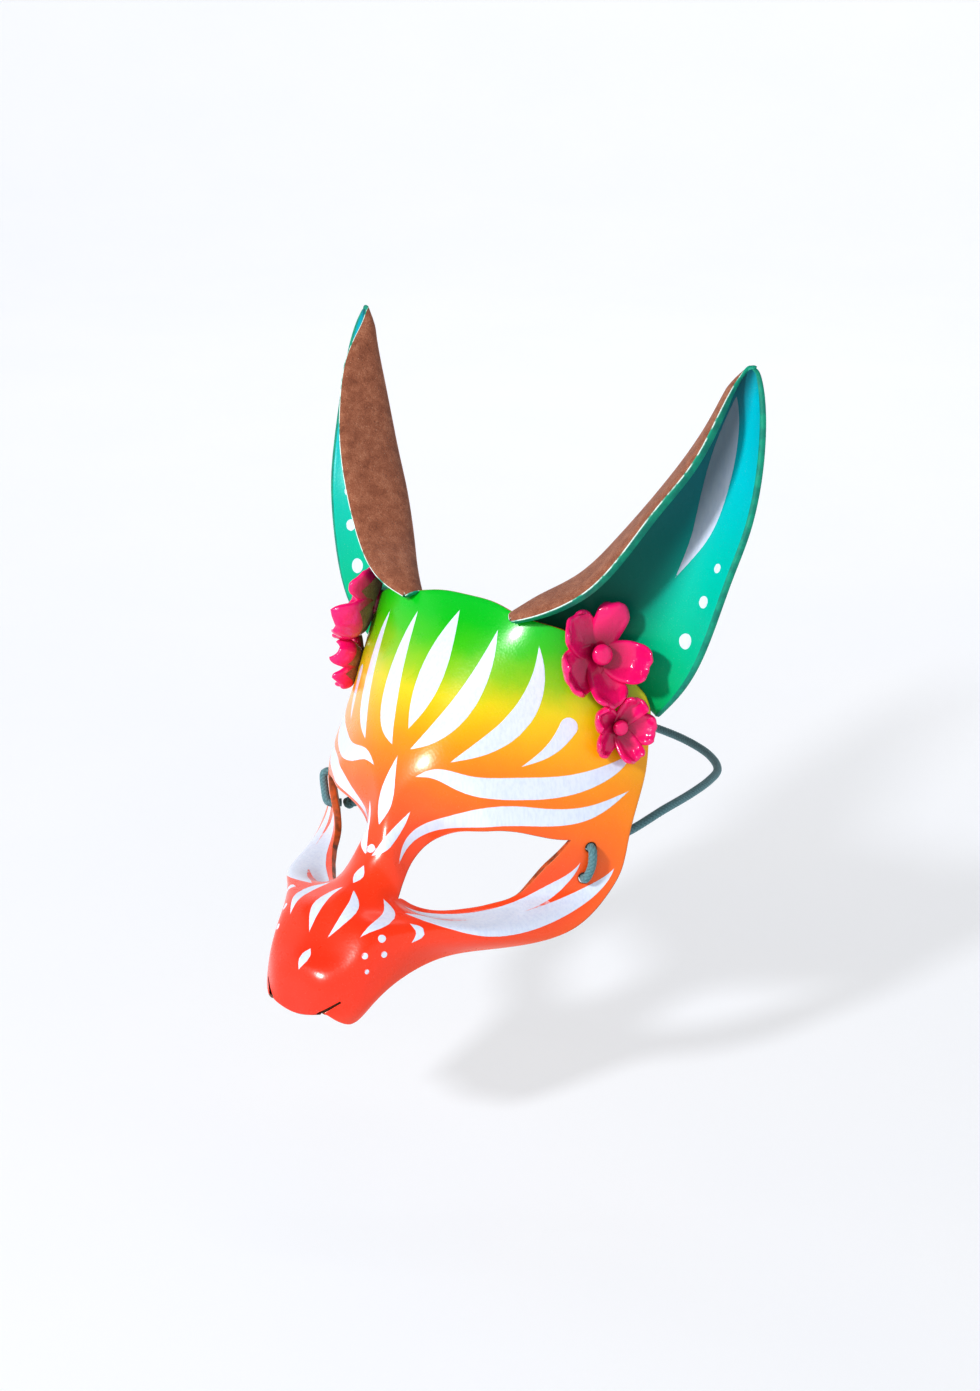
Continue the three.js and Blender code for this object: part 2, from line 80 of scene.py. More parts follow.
# Sections of one half of the face, from the top edge to the lip: shares of half width, depth and height
# at the ridge, crest, flank, cheek, side and rim
FACE_ROWS = {
    "crown": ((0, 0.379, 0.463), (0.192, 0.375, 0.459), (0.385, 0.364, 0.439),
              (0.59, 0.407, 0.412), (0.782, 0.486, 0.327), (0.936, 0.571, 0.204)),
    "forehead": ((0, 0.262, 0.347), (0.192, 0.271, 0.34), (0.41, 0.304, 0.32),
                 (0.628, 0.364, 0.272), (0.814, 0.443, 0.19), (0.955, 0.543, 0.095)),
    "upper brow": ((0, 0.146, 0.204), (0.192, 0.157, 0.197), (0.41, 0.207, 0.177),
                   (0.641, 0.3, 0.136), (0.833, 0.4, 0.082), (0.974, 0.514, 0.014)),
    "brow": ((0, 0.046, 0.083), (0.179, 0.057, 0.075), (0.385, 0.114, 0.061),
             (0.615, 0.214, 0.027), (0.827, 0.329, -0.02), (0.994, 0.457, -0.061)),
    "upper lid": ((0, -0.014, -0.031), (0.154, 0, -0.041), (0.359, 0.043, -0.065),
                  (0.59, 0.143, -0.082), (0.821, 0.275, -0.112), (1, 0.414, -0.139)),
    "eye": ((0, -0.057, -0.119), (0.122, -0.043, -0.129), (0.244, 0.032, -0.17),
            (0.538, 0.121, -0.19), (0.808, 0.271, -0.204), (0.994, 0.386, -0.224)),
    "lower lid": ((0, -0.107, -0.184), (0.128, -0.093, -0.211), (0.282, -0.054, -0.289),
                  (0.5, 0.068, -0.303), (0.744, 0.221, -0.286), (0.955, 0.339, -0.299)),
    "cheek": ((0, -0.157, -0.224), (0.141, -0.15, -0.245), (0.333, -0.111, -0.284),
              (0.551, -0.054, -0.303), (0.737, 0.061, -0.33), (0.878, 0.207, -0.374)),
    "jaw": ((0, -0.218, -0.247), (0.154, -0.207, -0.265), (0.34, -0.179, -0.284),
            (0.513, -0.121, -0.313), (0.622, -0.036, -0.361), (0.667, 0.043, -0.395)),
    "muzzle": ((0, -0.286, -0.298), (0.167, -0.275, -0.289), (0.321, -0.243, -0.301),
               (0.417, -0.193, -0.34), (0.455, -0.129, -0.381), (0.462, -0.096, -0.408)),
    "whisker pad": ((0, -0.354, -0.354), (0.167, -0.339, -0.352), (0.295, -0.314, -0.361),
                    (0.353, -0.271, -0.398), (0.365, -0.261, -0.429), (0.359, -0.257, -0.456)),
    "nose": ((0, -0.407, -0.401), (0.154, -0.4, -0.412), (0.256, -0.371, -0.439),
             (0.288, -0.357, -0.473), (0.295, -0.343, -0.503), (0.282, -0.329, -0.527)),
    "lip": ((0, -0.429, -0.514), (0.09, -0.429, -0.507), (0.154, -0.425, -0.497),
            (0.179, -0.421, -0.492), (0.205, -0.404, -0.507), (0.237, -0.375, -0.537)),
}
# The lids of the eye opening, from the inner to the outer corner: shares across half the face and down it
UPPER_LID = ((0.296, 0.526), (0.3, 0.486), (0.322, 0.452), (0.362, 0.416), (0.405, 0.389), (0.456, 0.364),
             (0.544, 0.346), (0.621, 0.343), (0.692, 0.348), (0.728, 0.351), (0.762, 0.352), (0.793, 0.351))
LOWER_LID = ((0.296, 0.526), (0.3, 0.52), (0.322, 0.512), (0.362, 0.507), (0.405, 0.503), (0.456, 0.501),
             (0.544, 0.498), (0.621, 0.495), (0.692, 0.482), (0.728, 0.424), (0.762, 0.385), (0.793, 0.351))
HOLE_ABOVE = (0.862, 0.367)
HOLE_BELOW = (0.869, 0.456)
# The slit between nose and lip lobe: its places, and in millimetres its size and that of the blade
SLIT_START, SLIT_END = (0.4, 0.99), (0.432, 0.94)
SLIT_WIDTH = 1.2
SLIT_DEPTH = 1.3
BLADE_OVERRUN = 2.0
BLADE_STANDOUT = 3.0
# Sections of the left ear from root to tip, as shares of its length: medial edge, fold and lateral edge
EAR_ROOT_PLACE = (0.706, 0.031)
EAR_ROOT_HEIGHT = -7.45
EAR_ROWS = {
    "root": ((-0.184, -0.16, 0.148), (-0.181, -0.055, 0.126), (0.188, 0.16, -0.184)),
    "low": ((-0.064, -0.156, 0.196), (-0.121, -0.008, 0.207), (0.286, 0.149, -0.071)),
    "flare": ((0.064, -0.092, 0.28), (-0.038, 0.077, 0.281), (0.361, 0.16, 0.082)),
    "belly": ((0.164, -0.032, 0.416), (0.05, 0.151, 0.404), (0.42, 0.195, 0.3)),
    "middle": ((0.24, 0.028, 0.552), (0.13, 0.203, 0.522), (0.452, 0.246, 0.46)),
    "narrow": ((0.308, 0.112, 0.68), (0.224, 0.262, 0.685), (0.46, 0.293, 0.626)),
    "upper": ((0.344, 0.192, 0.812), (0.292, 0.3, 0.821), (0.449, 0.324, 0.785)),
    "high": ((0.352, 0.276, 0.904), (0.33, 0.323, 0.907), (0.426, 0.341, 0.888)),
    "tip": ((0.368, 0.336, 0.968), (0.372, 0.348, 0.968), (0.396, 0.354, 0.964)),
}
# The cord behind the head, from the side of the mask to the middle of the nape: out, back and up
NAPE = ((77.5, 84, -17.4), (77.5, 104, -17), (75, 122, -17.5), (69, 138, -19),
        (56, 152, -20), (38, 162, -20.5), (19, 168, -21), (0, 170, -21))


def unit(vectors: Array) -> Array:
    """Vectors scaled to length one."""
    return vectors / np.maximum(np.linalg.norm(vectors, axis=-1, keepdims=True), 1e-12)


def spline_weights(count: int, places: Array) -> Array:
    """Weights that a natural cubic spline gives to evenly spaced values.

    Args:
        count: How many values the spline runs through.
        places: Where it is read, from 0 at the first value to count - 1 at the last.

    Returns:
        One row of weights for each place.
    """
    rows = np.eye(count)
    pull = np.zeros((count, count))
    for i in range(1, count - 1):
        rows[i, i - 1:i + 2] = 1, 4, 1
        pull[i, i - 1:i + 2] = 6, -12, 6
    bends = np.linalg.solve(rows, pull)
    lower = np.clip(np.floor(places).astype(int), 0, count - 2)
    after = (places - lower)[:, None]
    before = 1 - after
    each = np.eye(count)
    straight = before * each[lower] + after * each[lower + 1]
    return straight + ((before**3 - before) * bends[lower] + (after**3 - after) * bends[lower + 1]) / 6


def smooth_line(points: Sequence[Sequence[float]], count: int) -> Array:
    """A centripetal curve through a few points.

    Args:
        points: The points that the curve passes through.
        count: How many points the curve is given with.

    Returns:
        Points evenly spaced along the curve.
    """
    given = np.array(points, float)
    ends = np.vstack([2 * given[0] - given[1], given, 2 * given[-1] - given[-2]])
    pieces = []
    for a, b, c, d in zip(ends, ends[1:], ends[2:], ends[3:]):
        ab, bc, cd = (max(np.linalg.norm(q - p), 1e-9) ** 0.5 for p, q in ((a, b), (b, c), (c, d)))
        leave = ((b - a) / ab - (c - a) / (ab + bc) + (c - b) / bc) * bc
        arrive = ((c - b) / bc - (d - b) / (bc + cd) + (d - c) / cd) * bc
        t = np.linspace(0, 1, 40, endpoint=False)[:, None]
        cubic = (2 * t**3 - 3 * t**2 + 1) * b + (t**3 - 2 * t**2 + t) * leave
        pieces.append(cubic + (3 * t**2 - 2 * t**3) * c + (t**3 - t**2) * arrive)
    return evenly(np.vstack([*pieces, given[-1:]]), count)


def strides(line: Array) -> Array:
    """The distance from each point of a line to the next."""
    return np.linalg.norm(np.diff(line, axis=0), axis=1)


def walked(steps: Array) -> Array:
    """How far along each point lies, from the distances between them."""
    return np.concatenate([[0], np.cumsum(steps)])


def read_line(line: Array, along: Array, at: Array) -> Array:
    """Points of a line at some distances, where along says how far each of its own points lies."""
    return np.stack([np.interp(at, along, column) for column in line.T], axis=1)


def evenly(line: Array, count: int) -> Array:
    """A line given again with a count of evenly spaced points, both ends among them."""
    along = walked(strides(line))
    return read_line(line, along, np.linspace(0, along[-1], count))


def fan(middle: int, ring: Array) -> list[tuple[int, ...]]:
    """Triangles from a middle point to a closed ring of points, all given by number."""
    return [(middle, a, b) for a, b in zip(ring.tolist(), np.roll(ring, -1).tolist())]


def bands(rings: Sequence[Array]) -> list[tuple[int, ...]]:
    """Four-sided faces between each closed ring of point numbers and the next."""
    faces = []
    for a, b in zip(rings, rings[1:]):
        faces += zip(a.tolist(), np.roll(a, -1).tolist(), np.roll(b, -1).tolist(), b.tolist())
    return faces


def inside(places: Array, loop: Array) -> Array:
    """Which places lie inside a closed loop.

    Args:
        places: Places in the plane.
        loop: The loop's corners in order.

    Returns:
        True or False for each place.
    """
    x, y = places[:, :1], places[:, 1:2]
    ax, ay = loop.T
    bx, by = np.roll(loop, -1, axis=0).T
    crossed = (ay > y) != (by > y)
    rise = np.where(by == ay, 1.0, by - ay)
    return (crossed & (x < (bx - ax) * (y - ay) / rise + ax)).sum(axis=1) % 2 == 1


def within(places: Array, rims: Sequence[Array]) -> Array:
    """Which places lie inside the first of some loops and in none of the others."""
    result = inside(places, rims[0])
    for hole in rims[1:]:
        result &= ~inside(places, hole)
    return result


@dataclass
class Sheet:
    """A smooth surface through a net of points, in millimetres.

    A place on it is a pair: across, from first to 1, and down, from 0 to 1.
    """

    net: Array
    first: float = 0.0

    def at(self, places: Array) -> Array:
        """The points of the surface at some places."""
        rows, columns, _ = self.net.shape
        across = (places[:, 0] - self.first) / (1 - self.first) * (columns - 1)
        by_row = np.tensordot(spline_weights(rows, places[:, 1] * (rows - 1)), self.net, axes=1)
        return np.einsum("nc,nck->nk", spline_weights(columns, across), by_row)

    def tangents(self, places: Array) -> tuple[Array, Array]:
        """How the surface moves for each unit across and down, in millimetres."""
        step = 1e-3
        aside, along = np.array([step, 0.0]), np.array([0.0, step])
        across = (self.at(places + aside) - self.at(places - aside)) / (2 * step)
        down = (self.at(places + along) - self.at(places - along)) / (2 * step)
        return across, down

    def normal(self, places: Array) -> Array:
        """The outward direction at some places."""
        across, down = self.tangents(places)
        return unit(np.cross(down, across))

    def lifted(self, places: Array, height: Array | float) -> Array:
        """Points at a height over the surface."""
        return self.at(places) + self.normal(places) * np.reshape(height, (-1, 1))

    def moved(self, places: Array, moves: Array) -> Array:
        """The places that are reached by short moves over the surface.

        Args:
            places: Where the moves start.
            moves: The moves in space, in millimetres.

        Returns:
            The places where they end.
        """
        across, down = self.tangents(places)
        aa, ad, dd = ((p * q).sum(axis=1) for p, q in ((across, across), (across, down), (down, down)))
        am, dm = (across * moves).sum(axis=1), (down * moves).sum(axis=1)
        area = aa * dd - ad * ad
        return places + np.stack([am * dd - dm * ad, dm * aa - am * ad], axis=1) / area[:, None]

    def ring(self, place: Sequence[float], diameter: float, count: int = 28) -> Array:
        """A circle round a place, as a loop of places."""
        middle = np.repeat([place], count, axis=0).astype(float)
        across, down = (unit(t) for t in self.tangents(middle))
        over = unit(down - across * (across * down).sum(axis=1, keepdims=True))
        turn = np.linspace(0, 2 * math.pi, count, endpoint=False)[:, None]
        return self.moved(middle, (across * np.cos(turn) + over * np.sin(turn)) * diameter / 2)


@dataclass
class FlaredSheet(Sheet):
    """A sheet whose first edge curls over, by some millimetres and with a reach from the edge.

    The curl eases off over the last share of the way down.
    """

    flare: float = 1.1
    reach: float = 4.0
    easing: float = 0.15

    def at(self, places: Array) -> Array:
        """The points of the flared surface at some places."""
        plain = Sheet(self.net, self.first)
        far = places[:, 0] * np.linalg.norm(plain.tangents(places)[0], axis=1) / self.reach
        ease = np.clip((1 - places[:, 1]) / self.easing, 0, 1)
        return plain.lifted(places, self.flare * ease * far * np.exp(1 - np.clip(far, -1, 9)))


def face_sheet() -> Sheet:
    """The outer face of the mask, both halves."""
    half = np.array(list(FACE_ROWS.values())) * (HALF_WIDTH, FACE_DEPTH, FACE_HEIGHT)
    other = half[:, :0:-1] * (-1, 1, 1)
    return Sheet(np.concatenate([other, half], axis=1), first=-1.0)


def ear_sheet(face: Sheet) -> Sheet:
    """The outer face of the left ear, its back bulged out between fold and lateral edge."""
    root = face.lifted(np.array([EAR_ROOT_PLACE]), EAR_ROOT_HEIGHT)[0]
    rows = np.array(list(EAR_ROWS.values())) * EAR_LENGTH + root
    medial, fold, lateral = rows[:, 0], rows[:, 1], rows[:, 2]
    middle = (fold + lateral) / 2
    back = middle + (middle - medial) * EAR_BULGE
    return FlaredSheet(np.stack([medial, fold, back, lateral], axis=1))


FACE = face_sheet()
SEAT = FACE.lifted(np.array([[0.0, 0.31]]), -LEATHER)[0]


@dataclass(frozen=True)
class Stroke:
    """A painted stroke: points of its middle line, each a place on the sheet and the width there in mm.

    A width of nothing ends in a point, any other width in a round end, and one point alone is a dot.
    """

    points: tuple[tuple[float, float, float], ...]

    def middle(self, sheet: Sheet) -> tuple[Array, Array]:
        """The middle line's places and widths.

        Args:
            sheet: The surface that is painted.

        Returns:
            Places along the middle line, and the width at each.
        """
        knots = np.array(self.points, float)
        read = spline_weights(len(knots), np.linspace(0, len(knots) - 1, 60)) @ knots
        length = strides(sheet.at(read[:, :2])).sum()
        line = evenly(read, max(8, round(length / STROKE_STEP)))
        return line[:, :2], np.maximum(line[:, 2], 0)

    def outline(self, sheet: Sheet) -> Array:
        """The painted edge as a loop of places.

        Args:
            sheet: The surface that is painted.

        Returns:
            The loop.
        """
        if len(self.points) == 1:
            across, down, width = self.points[0]
            return sheet.ring((across, down), width, max(10, round(width * 5)))
        places, width = self.middle(sheet)
        points = sheet.at(places)
        along = unit(np.gradient(points, axis=0))
        aside = unit(np.cross(sheet.normal(places), along))
        half = width[:, None] / 2
        left = sheet.moved(places, aside * half)
        right = sheet.moved(places, -aside * half)
        loop = [left]
        for end, way in ((-1, 1), (0, -1)):
            if width[end] > POINTED_BELOW:
                turn = np.linspace(0, math.pi, 9)[1:-1, None]
                arc = (aside[end] * np.cos(turn) + along[end] * np.sin(turn)) * way * half[end]
                loop.append(sheet.moved(np.repeat(places[end:][:1], len(turn), axis=0), arc))
            if way > 0:
                loop.append(right[::-1])
        return np.vstack(loop)


@dataclass
class Painting:
    """Strokes on the left half of a sheet, or on a whole one, and how deep a point lies inside them.

    Depth is told up to the reach from an edge. Guides run along the middle of a stroke where it is wide
    enough, in millimetres, and are mirrored from a little beyond the seam between the halves.
    """

    sheet: Sheet
    strokes: Sequence[Stroke]
    mirrored: bool = False
    reach: float = 2.5
    wide_enough: float = 0.5
    seam: float = 0.004

    def guides(self) -> Array:
        """Places along every painted edge and middle line, which a mesh takes in."""
        found = []
        for stroke in self.strokes:
            found.append(stroke.outline(self.sheet))
            if len(stroke.points) > 1:
                places, width = stroke.middle(self.sheet)
                found.append(places[width > self.wide_enough])
            else:
                found.append(np.array([stroke.points[0][:2]]))
        places = np.vstack(found)
        if self.mirrored:
            places = np.vstack([places, places[places[:, 0] > self.seam] * (-1, 1)])
        return places

    def depth(self, places: Array) -> Array:
        """How deep each place lies inside the painted shapes.

        Args:
            places: Places on the sheet.

        Returns:
            Millimetres inside the painted edge, less than nothing outside it.
        """
        if self.mirrored:
            places = np.abs(places)
        points = self.sheet.at(places)
        result = np.full(len(places), -self.reach)
        for stroke in self.strokes:
            loop = stroke.outline(self.sheet)
            corners = self.sheet.at(loop)
            low, high = corners.min(axis=0) - self.reach, corners.max(axis=0) + self.reach
            near = np.flatnonzero(((points > low) & (points < high)).all(axis=1))
            if not len(near):
                continue
            start, way = corners, np.roll(corners, -1, axis=0) - corners
            offset = points[near][:, None] - start
            share = (offset * way).sum(axis=2) / np.maximum((way * way).sum(axis=1), 1e-12)
            gap = np.linalg.norm(offset - np.clip(share, 0, 1)[..., None] * way, axis=2).min(axis=1)
            signed = np.where(inside(places[near], loop), gap, -gap)
            result[near] = np.maximum(result[near], signed)
        return result


class Skin(Enum):
    """The three skins of a piece of leather, in the order of its material slots."""

    OUTER = 0
    EDGE = 1
    INNER = 2


class Solver(Enum):
    """The ways in which Blender works a cut out."""

    EXACT = "EXACT"
    FAST = "FAST"


@dataclass
class Body:
    """A mesh under construction, in millimetres, with the place and facts of each point."""

    points: Array
    faces: list[tuple[int, ...]]
    skins: list[int]
    facts: dict[str, Array] = field(default_factory=dict)

    def places(self) -> Array:
        """Where each point lies on its sheet."""
        return np.stack([self.facts["across"], self.facts["down"]], axis=1)

    def mirrored(self) -> "Body":
        """The same body for the other side of the head."""
        faces = [tuple(reversed(face)) for face in self.faces]
        return Body(self.points * (-1, 1, 1), faces, list(self.skins), dict(self.facts))

    def joined(self, other: "Body") -> "Body":
        """This body and another as one."""
        first = len(self.points)
        faces = self.faces + [tuple(i + first for i in face) for face in other.faces]
        facts = {name: np.concatenate([values, other.facts[name]]) for name, values in self.facts.items()}
        return Body(np.vstack([self.points, other.points]), faces, self.skins + other.skins, facts)

    def placed(self, name: str, materials: Sequence[bpy.types.Material]) -> bpy.types.Object:
        """Makes the Blender object, in metres and in the frame of the part.

        Args:
            name: The piece's name.
            materials: The materials in the order of the skins.

        Returns:
            The new object.
        """
        mesh = bpy.data.meshes.new(name)
        mesh.from_pydata(((self.points - SEAT) * MM).tolist(), [], self.faces)
        for material in materials:
            mesh.materials.append(material)
        mesh.polygons.foreach_set("material_index", np.minimum(self.skins, len(materials) - 1))
        for fact, values in self.facts.items():
            mesh.attributes.new(fact, "FLOAT", "POINT").data.foreach_set("value", values.astype(np.float32))
        mesh.shade_smooth()
        mesh.update()
        piece = bpy.data.objects.new(name, mesh)
        bpy.context.scene.collection.objects.link(piece)
        return piece


def tree_of(points: Sequence[Sequence[float]]) -> KDTree:
    """A tree that finds the nearest of some points, by their numbers."""
    tree = KDTree(len(points))
    for i, point in enumerate(points):
        tree.insert(point, i)
    tree.balance()
    return tree


def cut(whole: Body, knife: Body, solver: Solver = Solver.EXACT) -> Body:
    """Takes one body out of another and carries the facts over.

    Args:
        whole: The body to be cut.
        knife: The body that is taken away.
        solver: The way Blender works the cut out.

    Returns:
        The cut body; its new walls are cut edges.
    """
    piece, tool = whole.placed("uncut", ()), knife.placed("knife", ())
    change = piece.modifiers.new("cut", "BOOLEAN")
    change.operation, change.solver, change.object = "DIFFERENCE", solver.value, tool
    mesh = piece.evaluated_get(bpy.context.evaluated_depsgraph_get()).to_mesh()
    points = np.array([v.co for v in mesh.vertices]) / MM + SEAT
    faces = [tuple(p.vertices) for p in mesh.polygons]
    for scratch in (piece, tool):
        bpy.data.objects.remove(scratch)
    corners = tree_of(whole.points)
    middles = tree_of([whole.points[list(face)].mean(axis=0) for face in whole.faces])
    owner = np.array([corners.find(point)[1] for point in points])
    nearest = [middles.find(points[list(face)].mean(axis=0)) for face in faces]
    skins = [whole.skins[found[1]] if found[2] < WALL_BEYOND else Skin.EDGE.value for found in nearest]
    return Body(points, faces, skins, {name: values[owner] for name, values in whole.facts.items()})


def largest(whole: Body) -> Body:
    """Keeps the largest piece of a body.

    Args:
        whole: The body, which may be in several pieces.

    Returns:
        The kept piece.
    """
    group = np.arange(len(whole.points))
    changed = True
    while changed:
        before = group.copy()
        for face in whole.faces:
            low = group[list(face)].min()
            for corner in face:
                group[corner] = low
        changed = bool((before != group).any())
    names, sizes = np.unique(group, return_counts=True)
    kept = group == names[sizes.argmax()]
    number = np.cumsum(kept) - 1
    chosen = [i for i, face in enumerate(whole.faces) if kept[face[0]]]
    faces = [tuple(int(number[corner]) for corner in whole.faces[i]) for i in chosen]
    facts = {name: values[kept] for name, values in whole.facts.items()}
    return Body(whole.points[kept], faces, [whole.skins[i] for i in chosen], facts)


def ride(piece: bpy.types.Object, slot: str, *nodes: str) -> bpy.types.Object:
    """Fastens a piece to the part and hides the solids that it stands for."""
    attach(piece, "root")
    if nodes:
        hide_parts(*nodes)
    log.info("%s: %d faces", piece.name, len(piece.data.polygons))
    return piece


@dataclass
class Hide:
    """A cut piece of leather: a sheet inside an outline, with holes, a thickness and rounded cut edges.

    Stretch turns places into about millimetres, for even triangles. The pitch is their size, and the steps
    along the rims, the rows and the gaps round rims and guides are shares of it. A bevel slopes the cut
    edge outwards before it is rounded.
    """

    sheet: Sheet
    outline: Array
    leather: Callable[[Array], Array]
    stretch: tuple[float, float]
    holes: Sequence[Array] = ()
    guides: Array | None = None
    pitch: float = 1.3
    rounding: float = 0.7
    bevel: float = 0.0
    rim_pitch: float = 0.45
    row_pitch: float = 0.87
    guide_gap: float = 0.35
    filling_gap: float = 0.62
    samples: int = 240

    def body(self) -> Body:
        """Cuts, thickens and rounds the leather.

        Returns:
            The body, with its places across and down among its facts.
        """
        rims = [self.rim(self.outline, 1)] + [self.rim(hole, -1) for hole in self.holes]
        places, triangles, loops = self.triangulated(rims)
        normal = self.sheet.normal(places)
        outer = self.sheet.at(places)
        thick = self.leather(places)
        inner = outer - normal * thick[:, None]
        count = len(places)
        points, owners = [outer, inner], [np.arange(count), np.arange(count)]
        layers = [np.zeros(count), np.ones(count)]
        faces = [tuple(t) for t in [*triangles[:, ::-1].tolist(), *(triangles + count).tolist()]]
        skins = [Skin.OUTER.value] * len(triangles) + [Skin.INNER.value] * len(triangles)
        used = 2 * count
        for loop in loops:
            here = outer[loop]
            along = unit(np.roll(here, -1, axis=0) - np.roll(here, 1, axis=0))
            outward = unit(np.cross(normal[loop], along))
            rings = [loop]
            for out, height in self.edge_profile(thick[loop]):
                points.append(here + normal[loop] * height[:, None] + outward * out)
                owners.append(loop)
                layers.append(-height / thick[loop])
                rings.append(np.arange(used, used + len(loop)))
                used += len(loop)
            rings.append(loop + count)
            faces += bands(rings)
            last = Skin.EDGE if self.bevel else Skin.INNER
            walls = [Skin.OUTER] + [Skin.EDGE] * (len(rings) - 3) + [last]
            skins += [wall.value for wall in walls for _ in loop]
        owner = np.concatenate(owners)
        facts = {"across": places[owner, 0], "down": places[owner, 1], "layer": np.concatenate(layers)}
        return Body(np.vstack(points), faces, skins, facts)

    def edge_profile(self, thick: Array) -> list[tuple[float, Array]]:
        """How far out and how low each ring of the rounded edge lies.

        Args:
            thick: The leather at each point of the edge.

        Returns:
            Pairs of the way out and the heights, from the outer to the inner face.
        """
        radius, slope = self.rounding, self.bevel
        rings = [(slope, np.zeros_like(thick))] if slope else []
        for turn in np.radians(EDGE_TURNS):
            height = np.full_like(thick, radius * (math.cos(turn) - 1))
            rings.append((slope + radius * math.sin(turn), height))
        drop = radius + BEVEL_DROP * slope
        for share in BEVEL_SHARES if slope else ROUND_SHARES:
            out = (slope + radius) * share if slope else radius * math.sqrt(1 - (1 - share) ** 2)
            rings.append((out, drop * share**1.4 - thick))
        return rings

    def rim(self, loop: Array, side: int) -> Array:
        """An edge of the cut, moved into the leather by the rounding.

        Args:
            loop: The edge, as a loop of places.
            side: 1 where the leather is inside the loop, -1 where it is outside.

        Returns:
            The moved loop, with the leather on its left.
        """
        dense = np.vstack([loop, loop[:1]])
        along = walked(strides(self.sheet.at(dense)))
        count = max(14, round(along[-1] / (self.pitch * self.rim_pitch)))
        even = read_line(dense, along, np.linspace(0, along[-1], count, endpoint=False))
        after = np.roll(even, -1, axis=0)
        turning = (even[:, 0] * after[:, 1] - even[:, 1] * after[:, 0]).sum()
        if turning * side < 0:
            even = even[::-1]
        here = self.sheet.at(even)
        way = unit(np.roll(here, -1, axis=0) - np.roll(here, 1, axis=0))
        inward = unit(np.cross(way, self.sheet.normal(even)))
        return self.sheet.moved(even, inward * (self.rounding + self.bevel))

    def lattice(self) -> Array:
        """Places spread over the sheet, about a pitch apart in both directions."""
        fine = np.linspace(0, 1, self.samples)
        aside = np.linspace(self.sheet.first, 1, self.samples)
        columns = [np.stack([np.full_like(fine, across), fine], axis=1)
                   for across in np.linspace(self.sheet.first, 1, 9)]
        height = walked(np.max([strides(self.sheet.at(column)) for column in columns], axis=0))
        step = self.row_pitch * self.pitch
        rows = np.interp(np.arange(0.5, height[-1] / step) * step, height, fine)
        found = []
        for n, down in enumerate(rows):
            length = walked(strides(self.sheet.at(np.stack([aside, np.full_like(aside, down)], axis=1))))
            count = max(4, round(length[-1] / self.pitch))
            at = (np.arange(count) + 0.25 + 0.5 * (n % 2)) * length[-1] / count
            found.append(np.stack([np.interp(at, length, aside), np.full(count, down)], axis=1))
        return np.vstack(found)

    def triangulated(self, rims: Sequence[Array]) -> tuple[Array, Array, list[Array]]:
        """Fills the leather between its rims with triangles.

        Args:
            rims: The loops that bound it, the outline first.

        Returns:
            The places, the triangles, and each rim as a row of point numbers.
        """
        guides = self.guides if self.guides is not None else np.zeros((0, 2))
        fixed = np.vstack(rims)
        scale = np.array(self.stretch)

        def clear_of(candidates: Array, others: Array, gap: float) -> Array:
            """Those candidates that keep a gap from the others, in stretched units."""
            if not len(others):
                return candidates
            tree = tree_of([(x, y, 0) for x, y in others * scale])
            near = np.array([tree.find((x, y, 0))[2] for x, y in candidates * scale])
            return candidates[near > gap]

        guides = clear_of(guides, fixed, self.guide_gap * self.pitch)
        filling = clear_of(self.lattice(), np.vstack([fixed, guides]), self.filling_gap * self.pitch)
        loose = np.vstack([guides, filling])
        places = np.vstack([fixed, loose[within(loose, rims)]])
        starts = np.cumsum([0] + [len(rim) for rim in rims]).tolist()
        edges = []
        for start, end in zip(starts, starts[1:]):
            edges += [(i, i + 1 if i + 1 < end else start) for i in range(start, end)]
        flat = [Vector((float(x), float(y))) for x, y in places * scale]
        made, _, faces, origins, _, _ = delaunay_2d_cdt(flat, edges, [], 0, 1e-7)
        source = {}
        for new, old in enumerate(origins):
            for number in old:
                source[number] = new
        new_places = np.array([tuple(p) for p in made]) / scale
        triangles = np.array([f for f in faces if len(f) == 3])
        triangles = triangles[within(new_places[triangles].mean(axis=1), rims)]
        loops = [np.array([source[i] for i in range(start, end)]) for start, end in zip(starts, starts[1:])]
        used = np.unique(np.concatenate([triangles.ravel(), *loops]))
        number = np.full(len(new_places), -1)
        number[used] = np.arange(len(used))
        return new_places[used], number[triangles], [number[loop] for loop in loops]


class Value:
    """A socket of a shader's node, whose arithmetic adds Math nodes."""

    def __init__(self, shader: "Shader", socket: bpy.types.NodeSocket) -> None:
        """Wraps one output socket."""
        self.shader = shader
        self.socket = socket

    def maths(self, operation: str, *others: "Value | float", turned: bool = False) -> "Value":
        """One Math node on this value and others.

        Args:
            operation: The node's operation.
            others: The other values or numbers.
            turned: Puts this value last.

        Returns:
            The node's result.
        """
        terms = [*others, self] if turned else [self, *others]
        return self.shader.node("ShaderNodeMath", {"operation": operation}, dict(enumerate(terms)))

    def __add__(self, other: "Value | float") -> "Value":
        """This value plus another."""
        return self.maths("ADD", other)

    def __sub__(self, other: "Value | float") -> "Value":
        """This value less another."""
        return self.maths("SUBTRACT", other)

    def __rsub__(self, other: float) -> "Value":
        """A number less this value."""
        return self.maths("SUBTRACT", other, turned=True)

    def __mul__(self, other: "Value | float") -> "Value":
        """This value times another."""
        return self.maths("MULTIPLY", other)

    __radd__ = __add__
    __rmul__ = __mul__

    def step(self, start: float, end: float) -> "Value":
        """Rises smoothly from nothing at start to one at end."""
        return self.shader.node("ShaderNodeMapRange", {"interpolation_type": "SMOOTHSTEP"},
                                {0: self, 1: start, 2: end, 3: 0.0, 4: 1.0})


